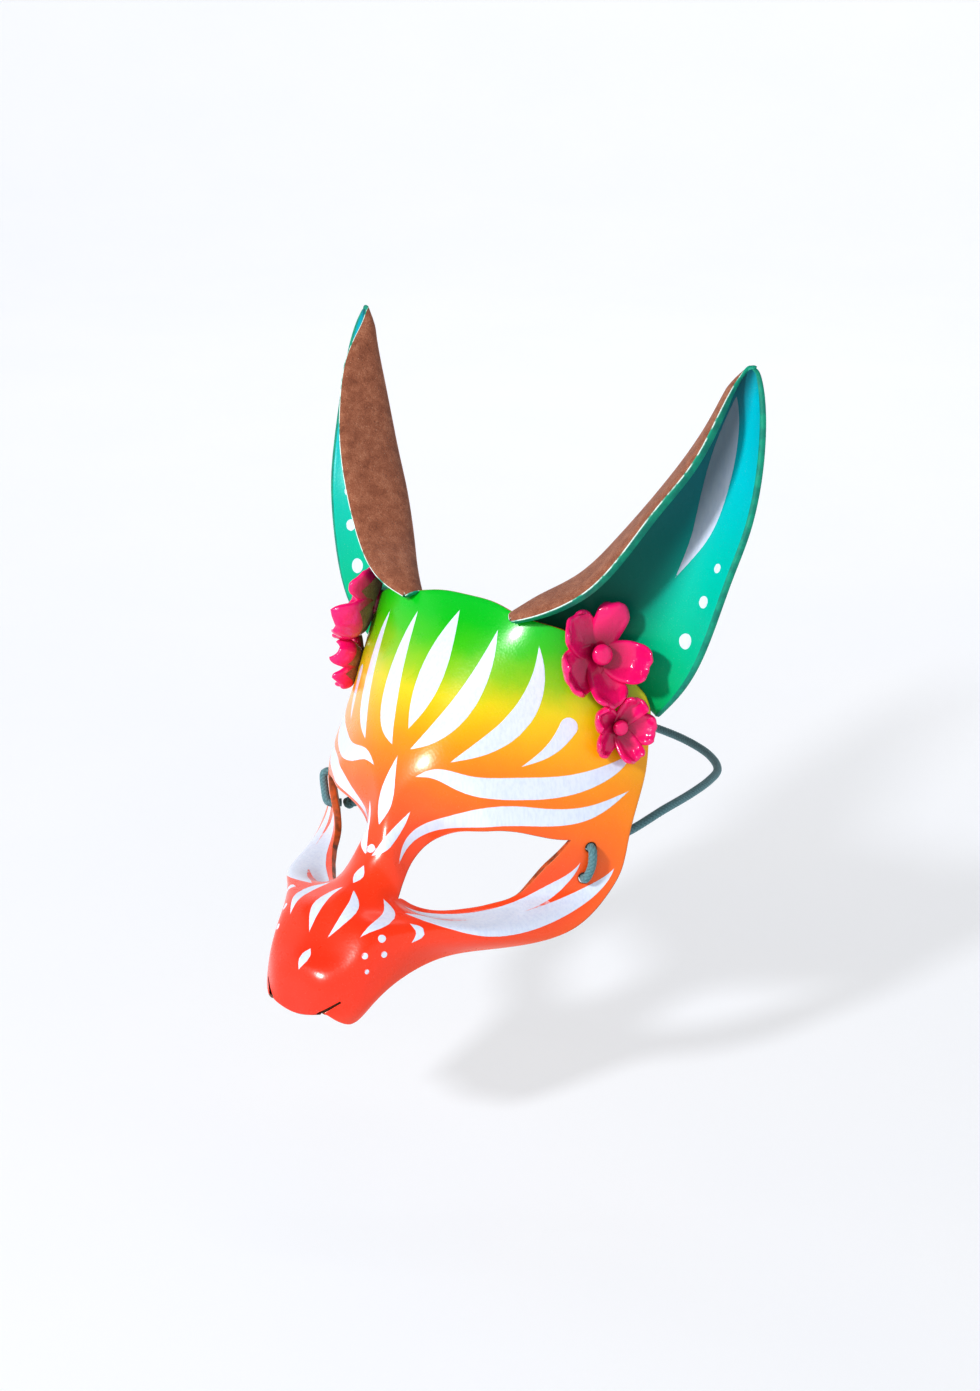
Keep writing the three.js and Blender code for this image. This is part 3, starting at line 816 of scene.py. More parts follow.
def linear(colour: Colour) -> tuple[float, float, float, float]:
    """A display colour, each part from 0 to 255, as the linear one that a shader takes."""
    parts = [c / 255 for c in colour]
    return (*(p / 12.92 if p <= 0.04045 else ((p + 0.055) / 1.055) ** 2.4 for p in parts), 1.0)


class Shader:
    """A material under construction."""

    def __init__(self, name: str) -> None:
        """Starts an empty material with an output."""
        self.material = bpy.data.materials.new(name)
        self.material.use_nodes = True
        self.tree = self.material.node_tree
        self.tree.nodes.clear()
        self.end = self.tree.nodes.new("ShaderNodeOutputMaterial")

    def node(self, kind: str, settings: dict[str, object], inputs: dict[int | str, object],
             output: int | str = 0) -> Value:
        """Adds a node.

        Args:
            kind: The node's type.
            settings: Its settings, or a ramp's stops, which are set first.
            inputs: Values, numbers or colours for its sockets.
            output: The socket that comes back.

        Returns:
            The output socket.
        """
        node = self.tree.nodes.new(kind)
        for name, value in settings.items():
            if name == "stops":
                self.set_stops(node.color_ramp, value)
            else:
                setattr(node, name, value)
        for name, value in inputs.items():
            if isinstance(value, Value):
                self.tree.links.new(value.socket, node.inputs[name])
            else:
                node.inputs[name].default_value = value
        return Value(self, node.outputs[output])

    @staticmethod
    def set_stops(ramp: bpy.types.ColorRamp, stops: Sequence[tuple[float, Colour]]) -> None:
        """Gives a ramp its places and colours."""
        while len(ramp.elements) < len(stops):
            ramp.elements.new(0.5)
        for element, (place, colour) in zip(ramp.elements, stops):
            element.position = place
            element.color = linear(colour)

    def fact(self, name: str) -> Value:
        """A value that the mesh carries at each point."""
        return self.node("ShaderNodeAttribute", {"attribute_name": name}, {}, "Fac")

    def object_place(self) -> Value:
        """Where a point lies on the piece, in metres."""
        return self.node("ShaderNodeTexCoord", {}, {}, "Object")

    def noise(self, size: float, detail: float = 3.0, rough: float = 0.55,
              place: Value | None = None) -> Value:
        """Cloudy noise, with patches of a size in millimetres."""
        inputs = {"Vector": place or self.object_place(), "Scale": 1 / (size * MM)}
        return self.node("ShaderNodeTexNoise", {}, {**inputs, "Detail": detail, "Roughness": rough}, "Fac")

    def cells(self, size: float) -> Value:
        """Cell noise, the distance from the cells' middles, for cells of a size in millimetres."""
        return self.node("ShaderNodeTexVoronoi", {},
                         {"Vector": self.object_place(), "Scale": 1 / (size * MM)}, "Distance")

    def ramp(self, value: Value, stops: Sequence[tuple[float, Colour]]) -> Value:
        """A colour that runs through stops as the value grows."""
        return self.node("ShaderNodeValToRGB", {"stops": stops}, {"Fac": value}, "Color")

    def mix(self, share: Value | float, first: Value | Colour, second: Value | Colour) -> Value:
        """Two colours mixed.

        Args:
            share: How much of the second is in the mix.
            first: The first colour.
            second: The second colour.

        Returns:
            The mixed colour.
        """
        pair = [c if isinstance(c, Value) else linear(c) for c in (first, second)]
        return self.node("ShaderNodeMix", {"data_type": "RGBA"}, {0: share, 6: pair[0], 7: pair[1]}, 2)

    def bump(self, height: Value, relief: float, under: Value | None = None) -> Value:
        """A Normal from heights, where one unit of height is a relief in millimetres."""
        inputs = {"Height": height, "Distance": relief * MM, "Strength": 1.0}
        if under is not None:
            inputs["Normal"] = under
        return self.node("ShaderNodeBump", {}, inputs, "Normal")

    def finished(self, varied: dict[str, Value], fixed: dict[str, float]) -> bpy.types.Material:
        """Closes the material with one principled shader.

        Args:
            varied: What changes over the surface.
            fixed: What is the same all over.

        Returns:
            The material.
        """
        surface = self.node("ShaderNodeBsdfPrincipled", {}, {**fixed, **varied}, "BSDF")
        self.tree.links.new(surface.socket, self.end.inputs["Surface"])
        return self.material


@dataclass(frozen=True)
class PaintedLeather:
    """Sprayed colours that run into each other, white brushwork over them and a satin lacquer.

    Painted fold shade is painted shade: how much of a dark colour lies over the paint and brushwork on the
    near side of the fold, where the ear's wall is in shadow.
    """

    name: str
    stops: tuple[tuple[float, Colour], ...]
    white: Colour = (224, 232, 247)
    thin_white: Colour = (196, 208, 236)
    specks: Colour = (255, 250, 225)
    patches: float = 0.02
    gloss: float = 0.9
    # painted shade over the near side of the ear's fold: its strength, its dark colour and its span across
    painted_fold_shade: float = 0.0
    painted_shade_colour: Colour = (6, 62, 72)
    painted_shade_span: tuple[float, float] = (0.52, 0.72)

    def material(self) -> bpy.types.Material:
        """Builds the finish."""
        shader = Shader(self.name)
        cloud = shader.noise(9.0, 4.0)
        tone = shader.fact("tone") + (cloud - 0.5) * self.patches
        grain = shader.cells(1.1) * 0.6 + shader.noise(0.5, 2.0) * 0.4
        sprayed = shader.ramp(tone, self.stops)
        sprayed = shader.mix(shader.noise(0.45, 2.0).step(0.62, 0.8) * 0.12, sprayed, self.specks)
        brushed = shader.noise(1 / 0.9, 3.0, 0.5, self.stretched(shader))
        white = shader.mix(brushed.step(0.35, 0.75) * 0.35, self.white, self.thin_white)
        covered = (shader.fact("paint") + (shader.noise(1.6) - 0.5) * 0.22).step(-0.07, 0.07)
        colour = shader.mix(covered, sprayed, white)
        # painted shade: paint and white brushwork darken towards the near side of the fold, where the ear's
        # wall is in shadow
        if self.painted_fold_shade:
            beside = 1 - shader.fact("across").step(*self.painted_shade_span)
            colour = shader.mix(beside * self.painted_fold_shade, colour, self.painted_shade_colour)
        ridge = shader.bump(covered + brushed * covered * 0.5, 0.05)
        normal = shader.bump(grain, 0.05, ridge)
        rough = covered * 0.12 + cloud * 0.08 + 0.24
        return shader.finished({"Base Color": colour, "Roughness": rough, "Normal": normal},
                               {"Coat Weight": 0.6 * self.gloss, "Coat Roughness": 0.2,
                                "Specular IOR Level": 0.3 * self.gloss})

    @staticmethod
    def stretched(shader: Shader) -> Value:
        """Places drawn out along the height, so that noise becomes brush marks."""
        return shader.node("ShaderNodeVectorMath", {"operation": "MULTIPLY"},
                           {0: shader.object_place(), 1: (1.0, 1.0, 0.16)}, "Vector")


@dataclass(frozen=True)
class RawLeather:
    """The unfinished flesh side: brown, matt, mottled and fibrous."""

    name: str
    dark: Colour
    middle: Colour
    light: Colour
    fleck: Colour = (214, 182, 156)
    fibre: float = 0.5

    def material(self) -> bpy.types.Material:
        """Builds the finish."""
        shader = Shader(self.name)
        mottle = shader.noise(5.0, 6.0, 0.7)
        nap = shader.noise(self.fibre, 4.0, 0.7)
        browns = ((0.3, self.dark), (0.5, self.middle), (0.72, self.light))
        colour = shader.ramp(mottle * 0.5 + nap * 0.5, browns)
        flecks = shader.cells(1.3).step(0.2, 0.08) * shader.noise(3.0).step(0.5, 0.62)
        colour = shader.mix(flecks * 0.6, colour, self.fleck)
        pits = shader.cells(1.9).step(0.08, 0.34)
        normal = shader.bump(nap + pits * 0.5, 0.34, shader.bump(mottle, 0.3))
        return shader.finished({"Base Color": colour, "Normal": normal, "Roughness": nap * 0.15 + 0.8},
                               {"Sheen Weight": 0.2, "Sheen Roughness": 0.5, "Specular IOR Level": 0.2})


@dataclass(frozen=True)
class CutEdge:
    """The cut edge of the leather, burnished and painted, with worn and frayed places."""

    name: str
    paint: Colour
    shade: Colour
    worn: Colour

    def material(self) -> bpy.types.Material:
        """Builds the finish."""
        shader = Shader(self.name)
        cloud = shader.noise(5.0, 4.0)
        fray = shader.noise(0.6, 4.0, 0.7)
        colour = shader.mix(cloud.step(0.35, 0.65), self.paint, self.shade)
        rim = (shader.fact("layer") + fray * 0.12).step(0.17, 0.06)
        colour = shader.mix(rim * cloud.step(0.36, 0.5), colour, self.worn)
        return shader.finished({"Base Color": colour, "Roughness": fray * 0.3 + 0.35,
                                "Normal": shader.bump(fray, 0.16)}, {"Specular IOR Level": 0.4})


@dataclass(frozen=True)
class PetalPaint:
    """Thick glossy paint on moulded petals, with painted shade: darker towards the root, down the cupped
    middle and on the hub.
    """

    name: str
    bright: Colour
    deep: Colour

    def material(self) -> bpy.types.Material:
        """Builds the finish."""
        shader = Shader(self.name)
        cloud = shader.noise(4.0, 4.0)
        # the fact named fold carries painted shade, darker towards the petals' roots, their cupped middles
        # and the hub
        fold = shader.fact("fold")
        colour = shader.mix(fold.step(0.2, 1.0) * 0.8 + cloud * 0.12, self.bright, self.deep)
        lumps = shader.noise(1.9, 3.0)
        pores = shader.cells(0.8)
        normal = shader.bump(pores, 0.04, shader.bump(lumps, 0.24))
        return shader.finished({"Base Color": colour, "Roughness": cloud * 0.16 + 0.14, "Normal": normal},
                               {"Coat Weight": 0.7, "Coat Roughness": 0.09, "Specular IOR Level": 0.3})


@dataclass(frozen=True)
class CordYarn:
    """Braided cotton yarn, with painted shade: darker in the hollows between the strands."""

    name: str
    light: Colour
    dark: Colour

    def material(self) -> bpy.types.Material:
        """Builds the finish."""
        shader = Shader(self.name)
        hair = shader.noise(0.35, 4.0, 0.7)
        hollow = shader.fact("hollow")
        # painted shade in the hollows between the strands, together with random darker fibres
        colour = shader.mix(hollow * 0.75 + hair.step(0.3, 0.7) * 0.25, self.light, self.dark)
        return shader.finished({"Base Color": colour, "Roughness": hair * 0.1 + 0.85,
                                "Normal": shader.bump(hair, 0.2)},
                               {"Sheen Weight": 0.25, "Specular IOR Level": 0.15})


@dataclass(frozen=True)
class PaleBoard:
    """Matt near-white board for the floor and the backdrop, with a soft glow."""

    name: str
    colour: Colour
    patch_colour: Colour
    glow: float = 0.63
    glow_colour: Colour = (251, 251, 251)

    def material(self) -> bpy.types.Material:
        """Builds the finish."""
        shader = Shader(self.name)
        tint = shader.mix(shader.noise(160.0, 2.0), self.colour, self.patch_colour)
        return shader.finished({"Base Color": tint}, {
            "Roughness": 0.9, "Specular IOR Level": 0.1,
            "Emission Color": linear(self.glow_colour), "Emission Strength": self.glow})


# Sprayed colours from the crown to the lip, and from the ear's root to its tip; the ear's darker last stop
# at the tip is painted shade
FACE_TONES = (
    (0.0, (0, 196, 48)), (0.045, (0, 194, 28)), (0.08, (66, 196, 0)), (0.118, (150, 202, 0)),
    (0.15, (226, 208, 0)), (0.18, (240, 186, 0)), (0.215, (248, 158, 8)), (0.25, (252, 134, 22)),
    (0.3, (252, 108, 34)), (0.36, (251, 92, 40)), (0.47, (250, 76, 36)), (0.75, (250, 64, 30)),
    (1.0, (240, 54, 26)),
)
EAR_TONES = (
    (0.0, (0, 178, 96)), (0.18, (0, 190, 140)), (0.38, (0, 198, 180)), (0.6, (0, 196, 206)),
    (0.82, (0, 186, 204)), (1.0, (0, 128, 140)),
)
SUEDE = RawLeather("raw_leather", (106, 58, 40), (158, 100, 74), (200, 146, 116))
FACE_EDGE = CutEdge("face_cut_edge", (206, 92, 30), (120, 60, 26), (226, 170, 130))
EAR_EDGE = CutEdge("ear_cut_edge", (0, 160, 130), (0, 134, 116), (224, 244, 238))
# Petal paint: its bright colour, and the dark colour of its painted shade
MAGENTA = PetalPaint("petal_paint_painted_shade", (248, 22, 122), (136, 0, 48))
# Cord yarn: its light colour, and the dark colour of the painted shade between its strands
YARN = CordYarn("cord_yarn_painted_shade", (128, 172, 178), (52, 92, 100))
BOARD = PaleBoard("pale_board", (156, 160, 168), (162, 164, 168))

# Strokes on the left half of the face: places across and down, and widths in millimetres
FACE_STROKES = (
    Stroke(((0, 0.028, 0), (0, 0.075, 8), (0, 0.125, 12), (0, 0.17, 8), (0, 0.205, 0))),
    Stroke(((0.065, 0.235, 0), (0.16, 0.203, 7), (0.235, 0.155, 9.5), (0.27, 0.095, 6), (0.27, 0.04, 0))),
    Stroke(((0.3, 0.24, 0), (0.4, 0.205, 6.5), (0.475, 0.15, 9), (0.5, 0.09, 5.5), (0.485, 0.04, 0))),
    Stroke(((0.55, 0.225, 0), (0.61, 0.187, 4.5), (0.65, 0.14, 7.5))),
    Stroke(((0.16, 0.275, 0), (0.27, 0.262, 4.5), (0.42, 0.27, 7.5), (0.58, 0.262, 9), (0.73, 0.235, 8),
            (0.86, 0.185, 5), (0.93, 0.13, 0))),
    Stroke(((0.255, 0.455, 0), (0.288, 0.402, 3.6), (0.36, 0.357, 6), (0.46, 0.327, 7.5), (0.58, 0.312, 8),
            (0.71, 0.304, 7), (0.84, 0.278, 5), (0.95, 0.22, 0))),
    Stroke(((0.335, 0.548, 0), (0.43, 0.536, 4.5), (0.55, 0.534, 7), (0.69, 0.53, 7.5), (0.79, 0.488, 5),
            (0.83, 0.41, 0))),
    Stroke(((0.37, 0.617, 0), (0.5, 0.604, 6), (0.66, 0.592, 9.5), (0.8, 0.566, 9.5), (0.92, 0.5, 5.5),
            (0.965, 0.42, 0))),
    Stroke(((0, 0.25, 0), (0, 0.295, 5), (0, 0.34, 6.5), (0, 0.39, 0))),
    Stroke(((0.03, 0.475, 0), (0.1, 0.44, 4), (0.16, 0.39, 4), (0.19, 0.34, 0))),
    Stroke(((0, 0.455, 3.6),)),
    Stroke(((0, 0.51, 0), (0, 0.55, 4.6), (0, 0.59, 0))),
    Stroke(((0.05, 0.62, 0), (0.11, 0.665, 4), (0.12, 0.72, 5), (0.07, 0.79, 0))),
    Stroke(((0.24, 0.585, 0), (0.31, 0.64, 4.6), (0.33, 0.71, 5), (0.28, 0.78, 0))),
    Stroke(((0.44, 0.665, 0), (0.53, 0.69, 3.6), (0.58, 0.74, 0))),
    Stroke(((0.41, 0.765, 3.2),)),
    Stroke(((0.38, 0.82, 2.6),)),
    Stroke(((0.5, 0.8, 2.6),)),
    Stroke(((0.46, 0.85, 2),)),
    Stroke(((0, 0.83, 0), (0, 0.865, 4.4), (0, 0.91, 0))),
)
# Strokes inside the ears: places from the medial to the lateral edge and from root to tip
EAR_STROKES = (
    Stroke(((0.63, 0.33, 0), (0.64, 0.45, 8), (0.59, 0.58, 11.5), (0.52, 0.7, 8), (0.46, 0.82, 0))),
    Stroke(((0.83, 0.235, 6.4),)),
    Stroke(((0.845, 0.32, 5),)),
    Stroke(((0.85, 0.39, 3.8),)),
    Stroke(((0.34, 0.36, 0), (0.31, 0.47, 6), (0.3, 0.58, 6.5), (0.3, 0.68, 0))),
)


@dataclass
class FaceLeather:
    """The moulded face: openings for the eyes, holes for the cord and the slits beside the nose.

    The brow is hollowed over each eye, in millimetres at the middle of the hollow, whose reach is given
    inwards, outwards and down. The tone bands of the spray bend up or down towards the sides.
    """

    pitch: float = 1.3
    hollow: float = 3.2
    hollow_middle: tuple[float, float] = (0.36, 0.368)
    hollow_reach: tuple[float, float, float] = (0.31, 0.17, 0.107)
    hollow_softness: float = 0.1
    tone_bend: float = 0.06
    tone_spread: float = 0.7
    tone_level: float = 0.13
    crown_corner: tuple[float, float] = (0.05, 0.03)
    lip_corner: tuple[float, float] = (0.16, 0.045)
    painting: Painting = field(default_factory=lambda: Painting(FACE, FACE_STROKES, mirrored=True))

    def leather(self, places: Array) -> Array:
        """The thickness, less where the leather is drawn round the nose."""
        share = np.clip((places[:, 1] - LIP_THINNING_FROM) / (1 - LIP_THINNING_FROM), 0, 1)
        return LEATHER * (1 - (1 - LIP_THINNING_TO) * share**2 * (3 - 2 * share))

    def outline(self) -> Array:
        """The cut edge of the face as a loop of places."""
        half = []
        for (x, y), turn in ((self.crown_corner, -90), (self.lip_corner, 0)):
            for angle in np.radians(np.linspace(turn, turn + 90, 8)):
                down = y if turn else 1 - y
                half.append((1 - x + x * math.cos(angle), down + y * math.sin(angle)))
        half += [(x, 1.0) for x in np.linspace(1 - self.lip_corner[0], 0.02, 24)[1:]]
        right = np.array(half)
        return np.vstack([right, right[::-1] * (-1, 1)])

    def blade(self) -> Body:
        """The wedge that cuts the slit between nose and lip lobe, from under the edge upwards."""
        start, end = (FACE.at(np.array([place]))[0] for place in (SLIT_START, SLIT_END))
        normal = FACE.normal(np.array([SLIT_END]))[0]
        up = unit(end - start)
        over = np.cross(normal, up)
        corners = [(start - BLADE_OVERRUN * up, SLIT_WIDTH / 2), (end, SLIT_WIDTH / 3)]
        points = [foot + over * half * side + normal * out
                  for out in (-SLIT_DEPTH, BLADE_STANDOUT) for foot, half in corners for side in (-1, 1)]
        faces = [(0, 1, 3, 2), (4, 6, 7, 5), (0, 4, 5, 1), (2, 3, 7, 6), (0, 2, 6, 4), (1, 5, 7, 3)]
        return Body(np.array(points), faces, [Skin.EDGE.value] * 6, {})

    def relief(self, places: Array) -> Array:
        """How far the leather is worked in over each eye, less than nothing, in millimetres."""
        side = np.abs(places[:, 0]) - self.hollow_middle[0]
        down = places[:, 1] - self.hollow_middle[1]
        inwards, outwards, height = self.hollow_reach
        inward = 1 - (side / np.where(side < 0, inwards, outwards)) ** 2 - (down / height) ** 2
        return -self.hollow * self.hollow_softness * np.logaddexp(0, inward / self.hollow_softness)

    def tone(self, places: Array) -> Array:
        """Where each place falls in the run of sprayed colours."""
        down = places[:, 1]
        return down + places[:, 0] ** 2 * (self.tone_bend - self.tone_spread * (down - self.tone_level))

    def holes(self) -> list[Array]:
        """The eye openings and the cord holes of both sides."""
        upper = smooth_line(UPPER_LID, 50)
        lower = smooth_line(LOWER_LID, 50)
        left = [np.vstack([upper, lower[-2:0:-1]])]
        left += [FACE.ring(hole, CORD_HOLE) for hole in (HOLE_ABOVE, HOLE_BELOW)]
        return left + [loop * (-1, 1) for loop in left]

    def build(self) -> bpy.types.Object:
        """Makes the face and dresses it."""
        body = Hide(FACE, self.outline(), self.leather, FACE_STRETCH, self.holes(),
                    self.painting.guides(), self.pitch).body()
        places = body.places()
        body.facts["paint"] = self.painting.depth(places)
        body.facts["tone"] = self.tone(places)
        body.points += FACE.normal(places) * self.relief(places)[:, None]
        for _ in range(2):  # the left slit, the right one, and back to the left way round
            body = cut(body, self.blade(), Solver.FAST).mirrored()
        finish = PaintedLeather("face_paint", FACE_TONES).material()
        piece = body.placed("face_leather", (finish, FACE_EDGE.material(), SUEDE.material()))
        return ride(piece, "face_leather", "mask_face")


@dataclass
class Ear:
    """A curled ear of thick leather, raw behind and painted inside, seated on the face and cut to it.

    Its first edge, nearest the brow, is thicker by some millimetres, which ease off towards the tip.
    """

    face: FaceLeather
    pitch: float = 1.25
    room_pitch: float = 3.5
    rounding: float = 0.5
    bevel: float = 0.7
    brow_edge: float = 1.7
    brow_edge_reach: float = 0.08
    easing: float = 0.2
    tip_corner: tuple[float, float] = (0.5, 0.03)
    sheet: Sheet = field(default_factory=lambda: ear_sheet(FACE))

    def leather(self, places: Array) -> Array:
        """The thickness, less towards the tip and more along the edge nearest the brow."""
        thick = EAR_LEATHER * (1 - (1 - EAR_THINNING_TO) * places[:, 1] ** 4)
        ease = np.clip((1 - places[:, 1]) / self.easing, 0, 1)
        return thick + self.brow_edge * np.exp(-(places[:, 0] / self.brow_edge_reach) ** 2) * ease

    def outline(self) -> Array:
        """The cut edge of the ear as a loop of places, its tip rounded."""
        aside, along = self.tip_corner
        turn = np.linspace(0, math.pi, 24)
        tip = np.stack([0.5 + aside * np.cos(turn), 1 - along + along * np.sin(turn)], axis=1)
        return np.vstack([[(0.0, 0.0), (1.0, 0.0)], tip])

    def uncut(self) -> Body:
        """The whole ear, before it is trimmed to the face."""
        painting = Painting(self.sheet, EAR_STROKES)
        body = Hide(self.sheet, self.outline(), self.leather, EAR_STRETCH, (), painting.guides(),
                    self.pitch, self.rounding, self.bevel).body()
        places = body.places()
        body.facts["paint"] = painting.depth(places)
        body.facts["tone"] = places[:, 1]
        return body

    def room(self) -> Body:
        """The space that the face's leather takes, with no openings in it."""
        face = self.face
        return Hide(FACE, face.outline(), face.leather, FACE_STRETCH, pitch=self.room_pitch).body()

    def trimmed(self) -> Body:
        """The ear without what would lie in the leather of the face, the largest piece that is left."""
        return largest(cut(self.uncut(), self.room()))

    def build(self) -> list[bpy.types.Object]:
        """Makes both ears and dresses them."""
        left = self.trimmed()
        # the ear paint lays painted shade over the near side of the fold
        paint = PaintedLeather("ear_paint_painted_shade", EAR_TONES, gloss=0.3, painted_fold_shade=0.72)
        finishes = (SUEDE.material(), EAR_EDGE.material(), paint.material())
        made = []
        for side, body in (("left", left), ("right", left.mirrored())):
            made.append(ride(body.placed(f"ear_leather_{side}", finishes), "ear_leather", f"ear_{side}"))
        return made


@dataclass(frozen=True)
class Petal:
    """One petal: the way it points, its size as shares of the flower, and how it is bent.

    Lift raises the tip, cup raises both sides, or lowers them where it is less than nothing, and tilt
    raises the left side more than the right. The tip is drawn in from a share of the way out. Rugged makes
    the rim and the face of the petal uneven. The paint runs round the rim, so that beyond a share of the
    way out the back is painted too.
    """

    turn: float
    length: float
    width: float
    lift: float
    cup: float
    tilt: float = 0.0
    curl: float = 0.0
    rugged: float = 0.02
    tip_from: float = 0.78
    tip_taper: float = 0.66
    sides: int = 22
    steps: int = 20
    painted_from: float = 0.7

    def grid(self) -> tuple[Array, Array]:
        """Shares of the way from root to tip and from side to side, closer together at the rim."""
        t = 0.5 - 0.5 * np.cos(np.linspace(0, math.pi, self.steps + 1))[:, None]
        return t, -np.cos(np.linspace(0, math.pi, self.sides + 1))[None, :]

    def shape(self, flower: float, base: float) -> tuple[Array, Array]:
        """The middle of the leather.

        Args:
            flower: The flower's diameter.
            base: How far over the hub the petal starts.

        Returns:
            The points of the grid, and how far each lies from the rim.
        """
        t, spread = self.grid()
        length, half = self.length * flower, self.width * flower / 2
        shoulder = np.sin(math.pi * np.minimum(0.62 * t + 0.1, 0.5))
        tip_share = np.clip((t - self.tip_from) / (1 - self.tip_from), 0, 1)
        tip = np.sqrt(1 - self.tip_taper * tip_share**2.4)
        phase = math.radians(3 * self.turn)
        width = half * (0.5 + 0.5 * shoulder) * tip * (1 + self.rugged * np.sin(6 * t + phase))
        wavy = np.sin(4.3 * spread + phase) + 0.5 * np.sin(9 * spread + 2 * phase)
        out = length * (0.06 + 0.94 * t) * (1 - 0.13 * spread**2 * t) * (1 + self.rugged * wavy * t)
        bend = width * self.cup * spread**2 * (0.3 + 0.7 * t) + width * self.tilt * spread * t
        rise = base + length * self.lift * t**1.6 + bend + length * self.curl * np.clip(t - 0.7, 0, 1) ** 2
        rise = rise + half * self.rugged * np.sin(6 * spread + phase) * np.sin(5 * t + 2 * phase) * t
        middle = np.stack(np.broadcast_arrays(out, width * spread, rise), axis=-1)
        return middle, np.minimum(np.minimum((1 - np.abs(spread)) * width, (1 - t) * length), t * length)

    def body(self, flower: float, leather: float, base: float) -> Body:
        """Moulds the petal.

        Args:
            flower: The flower's diameter.
            leather: The petal's thickness.
            base: How far over the hub it starts.

        Returns:
            The petal, pointing along its turn, with the flower's face up.
        """
        sides, steps = self.sides, self.steps
        t, spread = self.grid()
        middle, edge = self.shape(flower, base)
        normal = unit(np.cross(np.gradient(middle, axis=0), np.gradient(middle, axis=1)))
        share = np.sqrt(np.clip(1 - (1 - np.minimum(edge / (leather * 0.5), 1)) ** 2, 0, 1))[..., None]
        top, under = (middle + way * normal * share * leather / 2 for way in (1, -1))
        count = (sides + 1) * (steps + 1)
        number = np.arange(count).reshape(steps + 1, sides + 1)
        below = number.copy()
        below[1:-1, 1:-1] = count + np.arange((sides - 1) * (steps - 1)).reshape(steps - 1, sides - 1)
        points = np.vstack([top.reshape(-1, 3), under[1:-1, 1:-1].reshape(-1, 3)])
        # painted shade: darker towards the root and down the cupped middle of the petal
        fold = np.broadcast_to((1 - t) ** 1.5 * 0.9 + (1 - spread**2) * 0.25, number.shape)
        faces, skins = [], []
        for grid, skin in ((number, Skin.OUTER), (below, Skin.INNER)):
            for j in range(steps):
                for i in range(sides):
                    quad = (grid[j, i], grid[j + 1, i], grid[j + 1, i + 1], grid[j, i + 1])
                    beside = abs(spread[0, i] + spread[0, i + 1]) / 2
                    painted = skin is Skin.OUTER or max(t[j, 0], beside) > self.painted_from
                    faces.append(tuple(int(k) for k in (quad if skin is Skin.OUTER else quad[::-1])))
                    skins.append(Skin.OUTER.value if painted else Skin.INNER.value)
        angle = math.radians(self.turn)
        aside, over = math.cos(angle), math.sin(angle)
        spun = np.array([[aside, -over, 0], [over, aside, 0], [0, 0, 1]])
        facts = {"fold": np.concatenate([fold.ravel(), fold[1:-1, 1:-1].ravel()])}
        return Body(points @ spun.T, faces, skins, facts)


def turned(profile: Sequence[tuple[float, float]], segments: int, fold: float) -> Body:
    """A round body turned about the flower's axis.

    Args:
        profile: Radius and height of each ring; the first and last rings close on the axis.
        segments: How many steps there are round the axis.
        fold: How much painted shade lies on it.

    Returns:
        The body.
    """
    turn = np.linspace(0, 2 * math.pi, segments, endpoint=False)
    points = [(r * math.cos(a), r * math.sin(a), height) for r, height in profile for a in turn]
    points += [(0, 0, profile[0][1]), (0, 0, profile[-1][1])]
    rings = np.arange(len(profile) * segments).reshape(len(profile), segments)
    faces = bands(rings) + fan(len(points) - 2, rings[0][::-1]) + fan(len(points) - 1, rings[-1])
    return Body(np.array(points), faces, [0] * len(faces), {"fold": np.full(len(points), fold)})


# Rings of a flower's hub, as shares of its radius and heights in millimetres
HUB_RINGS = ((0.8, -2.6), (1, -2.2), (1, 0.4), (0.85, 0.9))
# Rings of its button, as shares of the button's radius out and up
BUTTON_RINGS = ((0.72, 0), (0.93, 0.06), (1, 0.26), (0.99, 0.5),
                (0.9, 0.7), (0.7, 0.83), (0.42, 0.9), (0.15, 0.92))


@dataclass(frozen=True)
class Flower:
    """A flower of moulded leather petals with a button in the middle, glued on as a mirrored pair."""

    name: str
    seat: tuple[float, float]
    height: float
    facing: tuple[float, float, float]
    across: float
    button: float
    petals: tuple[Petal, ...]
    leather: float = 2.4
    hub: float = 0.13
    rise: float = 0.16
    overlap: float = 0.25

    def placing(self, body: Body) -> Body:
        """Turns a body made on the flower's axis to where the flower sits."""
        facing = unit(np.array(self.facing))
        right = unit(np.cross((0, 0, 1), facing))
        axes = np.stack([right, np.cross(facing, right), facing])
        centre = FACE.lifted(np.array([self.seat]), self.height)[0]
        return Body(body.points @ axes + centre, body.faces, body.skins, body.facts)

    def blossom(self) -> Body:
        """The petals on their hub."""
        # the hub under the petals gets deep painted shade
        body = turned([(self.hub * self.across * share, height) for share, height in HUB_RINGS], 28, 0.9)
        for n, petal in enumerate(self.petals):
            body = body.joined(petal.body(self.across, self.leather, self.overlap * (n % 2)))
        return self.placing(body)

    def centre_button(self) -> Body:
        """The round button, a low dome with a soft edge."""
        radius = self.button / 2
        base = self.leather / 2 + CLEARANCE + radius * self.rise
        rings = [(radius * share, base + radius * height) for share, height in BUTTON_RINGS]
        # the button gets only a little painted shade
        return self.placing(turned(rings, 32, 0.05))

    def build(self) -> None:
        """Makes the flower on both sides and dresses it."""
        paint, raw = MAGENTA.material(), SUEDE.material()
        petals, button = self.blossom(), self.centre_button()
        for side in ("left", "right"):
            ride(petals.placed(f"petals_{side}_{self.name}", (paint, raw, raw)), "petal_leather",
                 f"flower_{side}_{self.name}_petals")
            ride(button.placed(f"button_{side}_{self.name}", (paint,)), "button_leather",
                 f"flower_{side}_{self.name}_button")
            petals, button = petals.mirrored(), button.mirrored()


